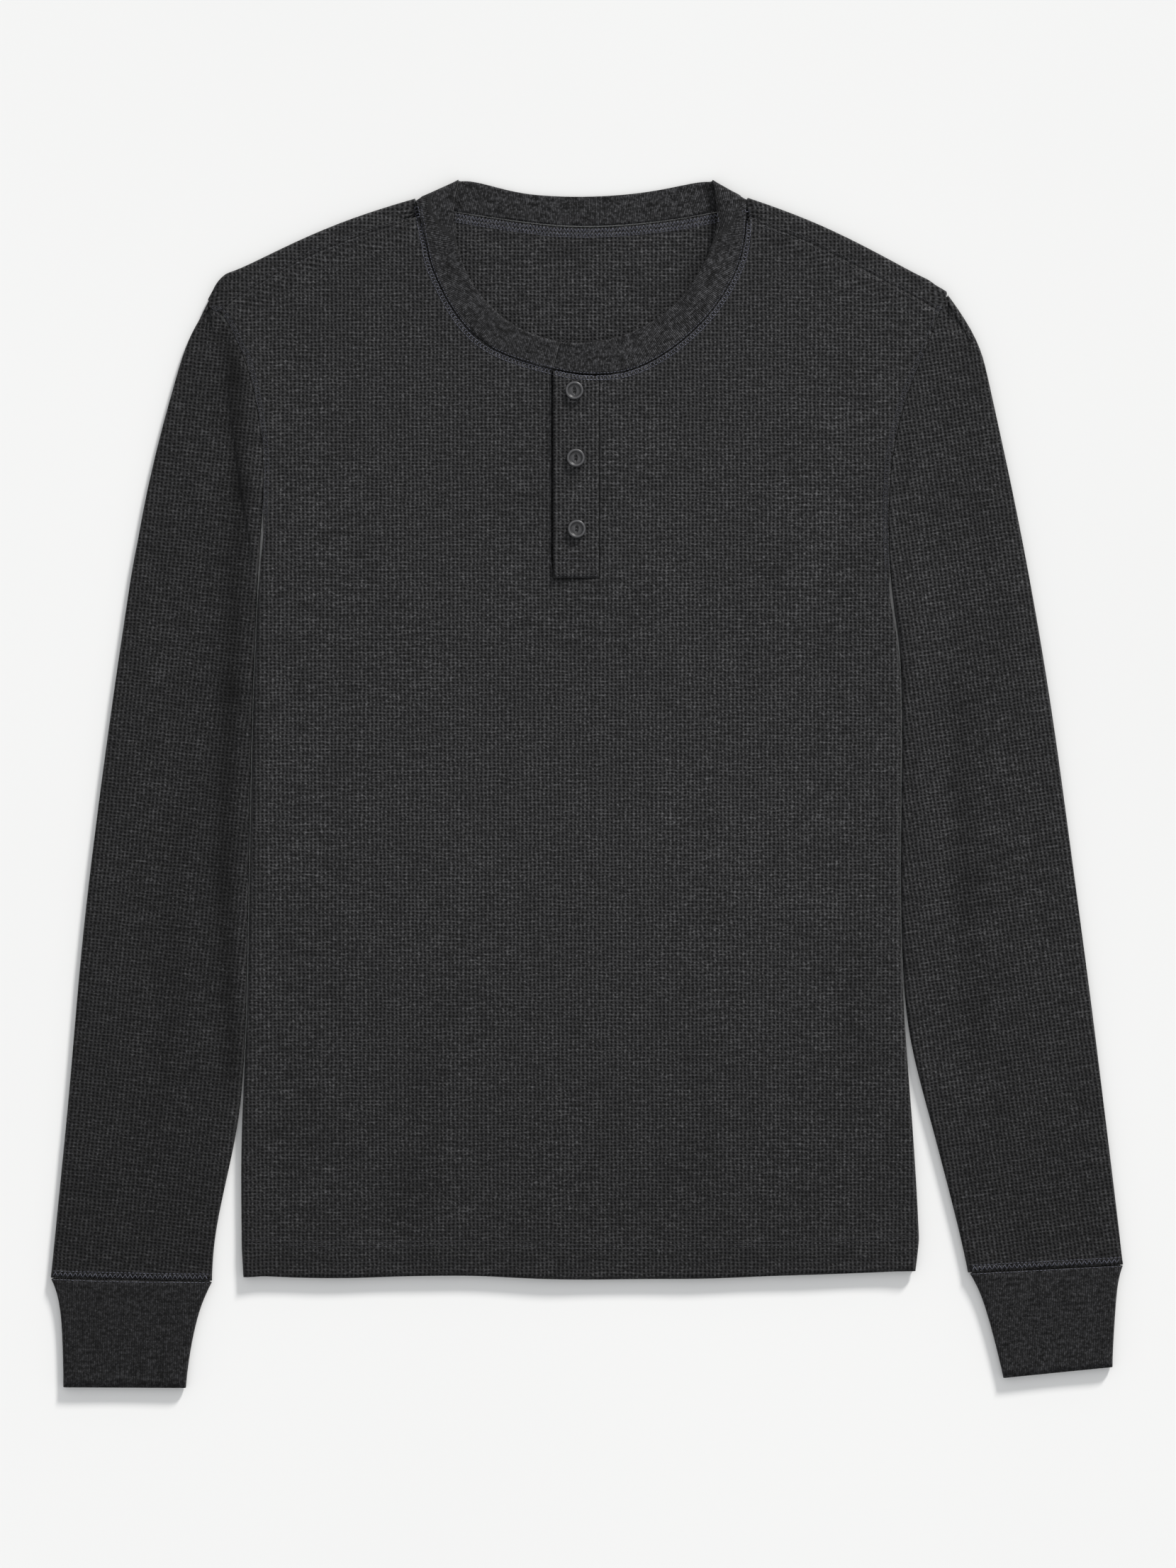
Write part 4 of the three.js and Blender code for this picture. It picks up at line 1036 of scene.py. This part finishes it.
class HENLEY_OT_buttons(bpy.types.Operator):
    """Make the three buttons with their sewing thread"""

    bl_idname = "henley.buttons"
    bl_label = "Buttons"

    def execute(self, context):
        chosen = settings()
        material = shared_material("Button", button_material)
        for name, x, y, turn in BUTTONS:
            low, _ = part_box(name)
            made = piece_of(button_mesh("face_" + name, x, y, low[2] / MM, turn), material)
            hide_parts(name)
        surface = Surface(["face_" + button[0] for button in BUTTONS])
        threads = Stitches(surface, chosen.thread_radius)
        for _, x, y, turn in BUTTONS:
            lean = BUTTON_THREAD_HALF * math.sin(math.radians(-turn))
            for across in BUTTON_THREADS:
                middle = x + across
                threads.add(
                    middle + lean, y - BUTTON_THREAD_HALF, middle - lean, y + BUTTON_THREAD_HALF, lift=0.25, thick=0.9
                )
        dark = thread("Dark Thread", chosen.seam_thread_dark, chosen.seam_thread_pale)
        threads.piece("thread_buttons", dark, "button")
        return {"FINISHED"}


def staged(name, data, place=(0.0, 0.0, 0.0), turn=(0.0, 0.0, 0.0)):
    """An object of the stage, at its place and turn."""
    made = bpy.data.objects.new(name, data)
    made.location = place
    made.rotation_euler = turn
    bpy.context.scene.collection.objects.link(made)
    return made


class HENLEY_OT_stage(bpy.types.Operator):
    """Set the surface, the light and the camera"""

    bl_idname = "henley.stage"
    bl_label = "Stage"

    def execute(self, context):
        scene = context.scene
        bm = bmesh.new()
        bmesh.ops.create_grid(bm, x_segments=2, y_segments=2, size=FLOOR_HALF)
        mesh = bpy.data.meshes.new("pale_surface")
        bm.to_mesh(mesh)
        bm.free()
        mesh.materials.append(surface_material())
        staged("pale_surface", mesh)

        scene.view_settings.view_transform = "Standard"
        scene.view_settings.look = "None"
        world = bpy.data.worlds.new("Soft Room")
        world.use_nodes = True
        background = world.node_tree.nodes["Background"]
        background.inputs["Color"].default_value = ROOM_COLOUR
        background.inputs["Strength"].default_value = ROOM_STRENGTH
        scene.world = world

        sun = bpy.data.lights.new("low_sun", "SUN")
        sun.energy = SUN_STRENGTH
        sun.angle = SUN_SPREAD
        sun.color = SUN_COLOUR
        staged("low_sun", sun, turn=Vector(SUN_WAY).normalized().to_track_quat("-Z", "Y").to_euler())

        camera = bpy.data.cameras.new("overhead")
        camera.sensor_fit = "VERTICAL"
        camera.sensor_height = SENSOR_HEIGHT
        camera.lens = LENS
        camera.clip_end = CAMERA_REACH
        scene.camera = staged("overhead", camera, place=(*CAMERA_MIDDLE, settings().camera_height))
        return {"FINISHED"}


OPERATORS = (
    HENLEY_OT_stage,
    HENLEY_OT_body,
    HENLEY_OT_sleeves,
    HENLEY_OT_cuffs,
    HENLEY_OT_neckband,
    HENLEY_OT_placket,
    HENLEY_OT_threads,
    HENLEY_OT_buttons,
)


class HENLEY_PT_panel(bpy.types.Panel):
    """Lists the steps in their order"""

    bl_idname = "HENLEY_PT_panel"
    bl_label = "Henley"
    bl_space_type = "VIEW_3D"
    bl_region_type = "UI"
    bl_category = "Henley"

    def draw(self, context):
        column = self.layout.column()
        for name in HenleySettings.__annotations__:
            column.prop(context.scene.henley, name)
        for operator in OPERATORS:
            column.operator(operator.bl_idname)


CLASSES = (HenleySettings, *OPERATORS, HENLEY_PT_panel)


def register():
    for item in CLASSES:
        bpy.utils.register_class(item)
    bpy.types.Scene.henley = bpy.props.PointerProperty(type=HenleySettings)


def unregister():
    del bpy.types.Scene.henley
    for item in reversed(CLASSES):
        bpy.utils.unregister_class(item)


def main():
    register()
    bpy.ops.henley.stage()
    bpy.ops.henley.body()
    bpy.ops.henley.sleeves()
    bpy.ops.henley.cuffs()
    bpy.ops.henley.neckband()
    bpy.ops.henley.placket()
    bpy.ops.henley.threads()
    bpy.ops.henley.buttons()


if __name__ == "__main__":
    main()
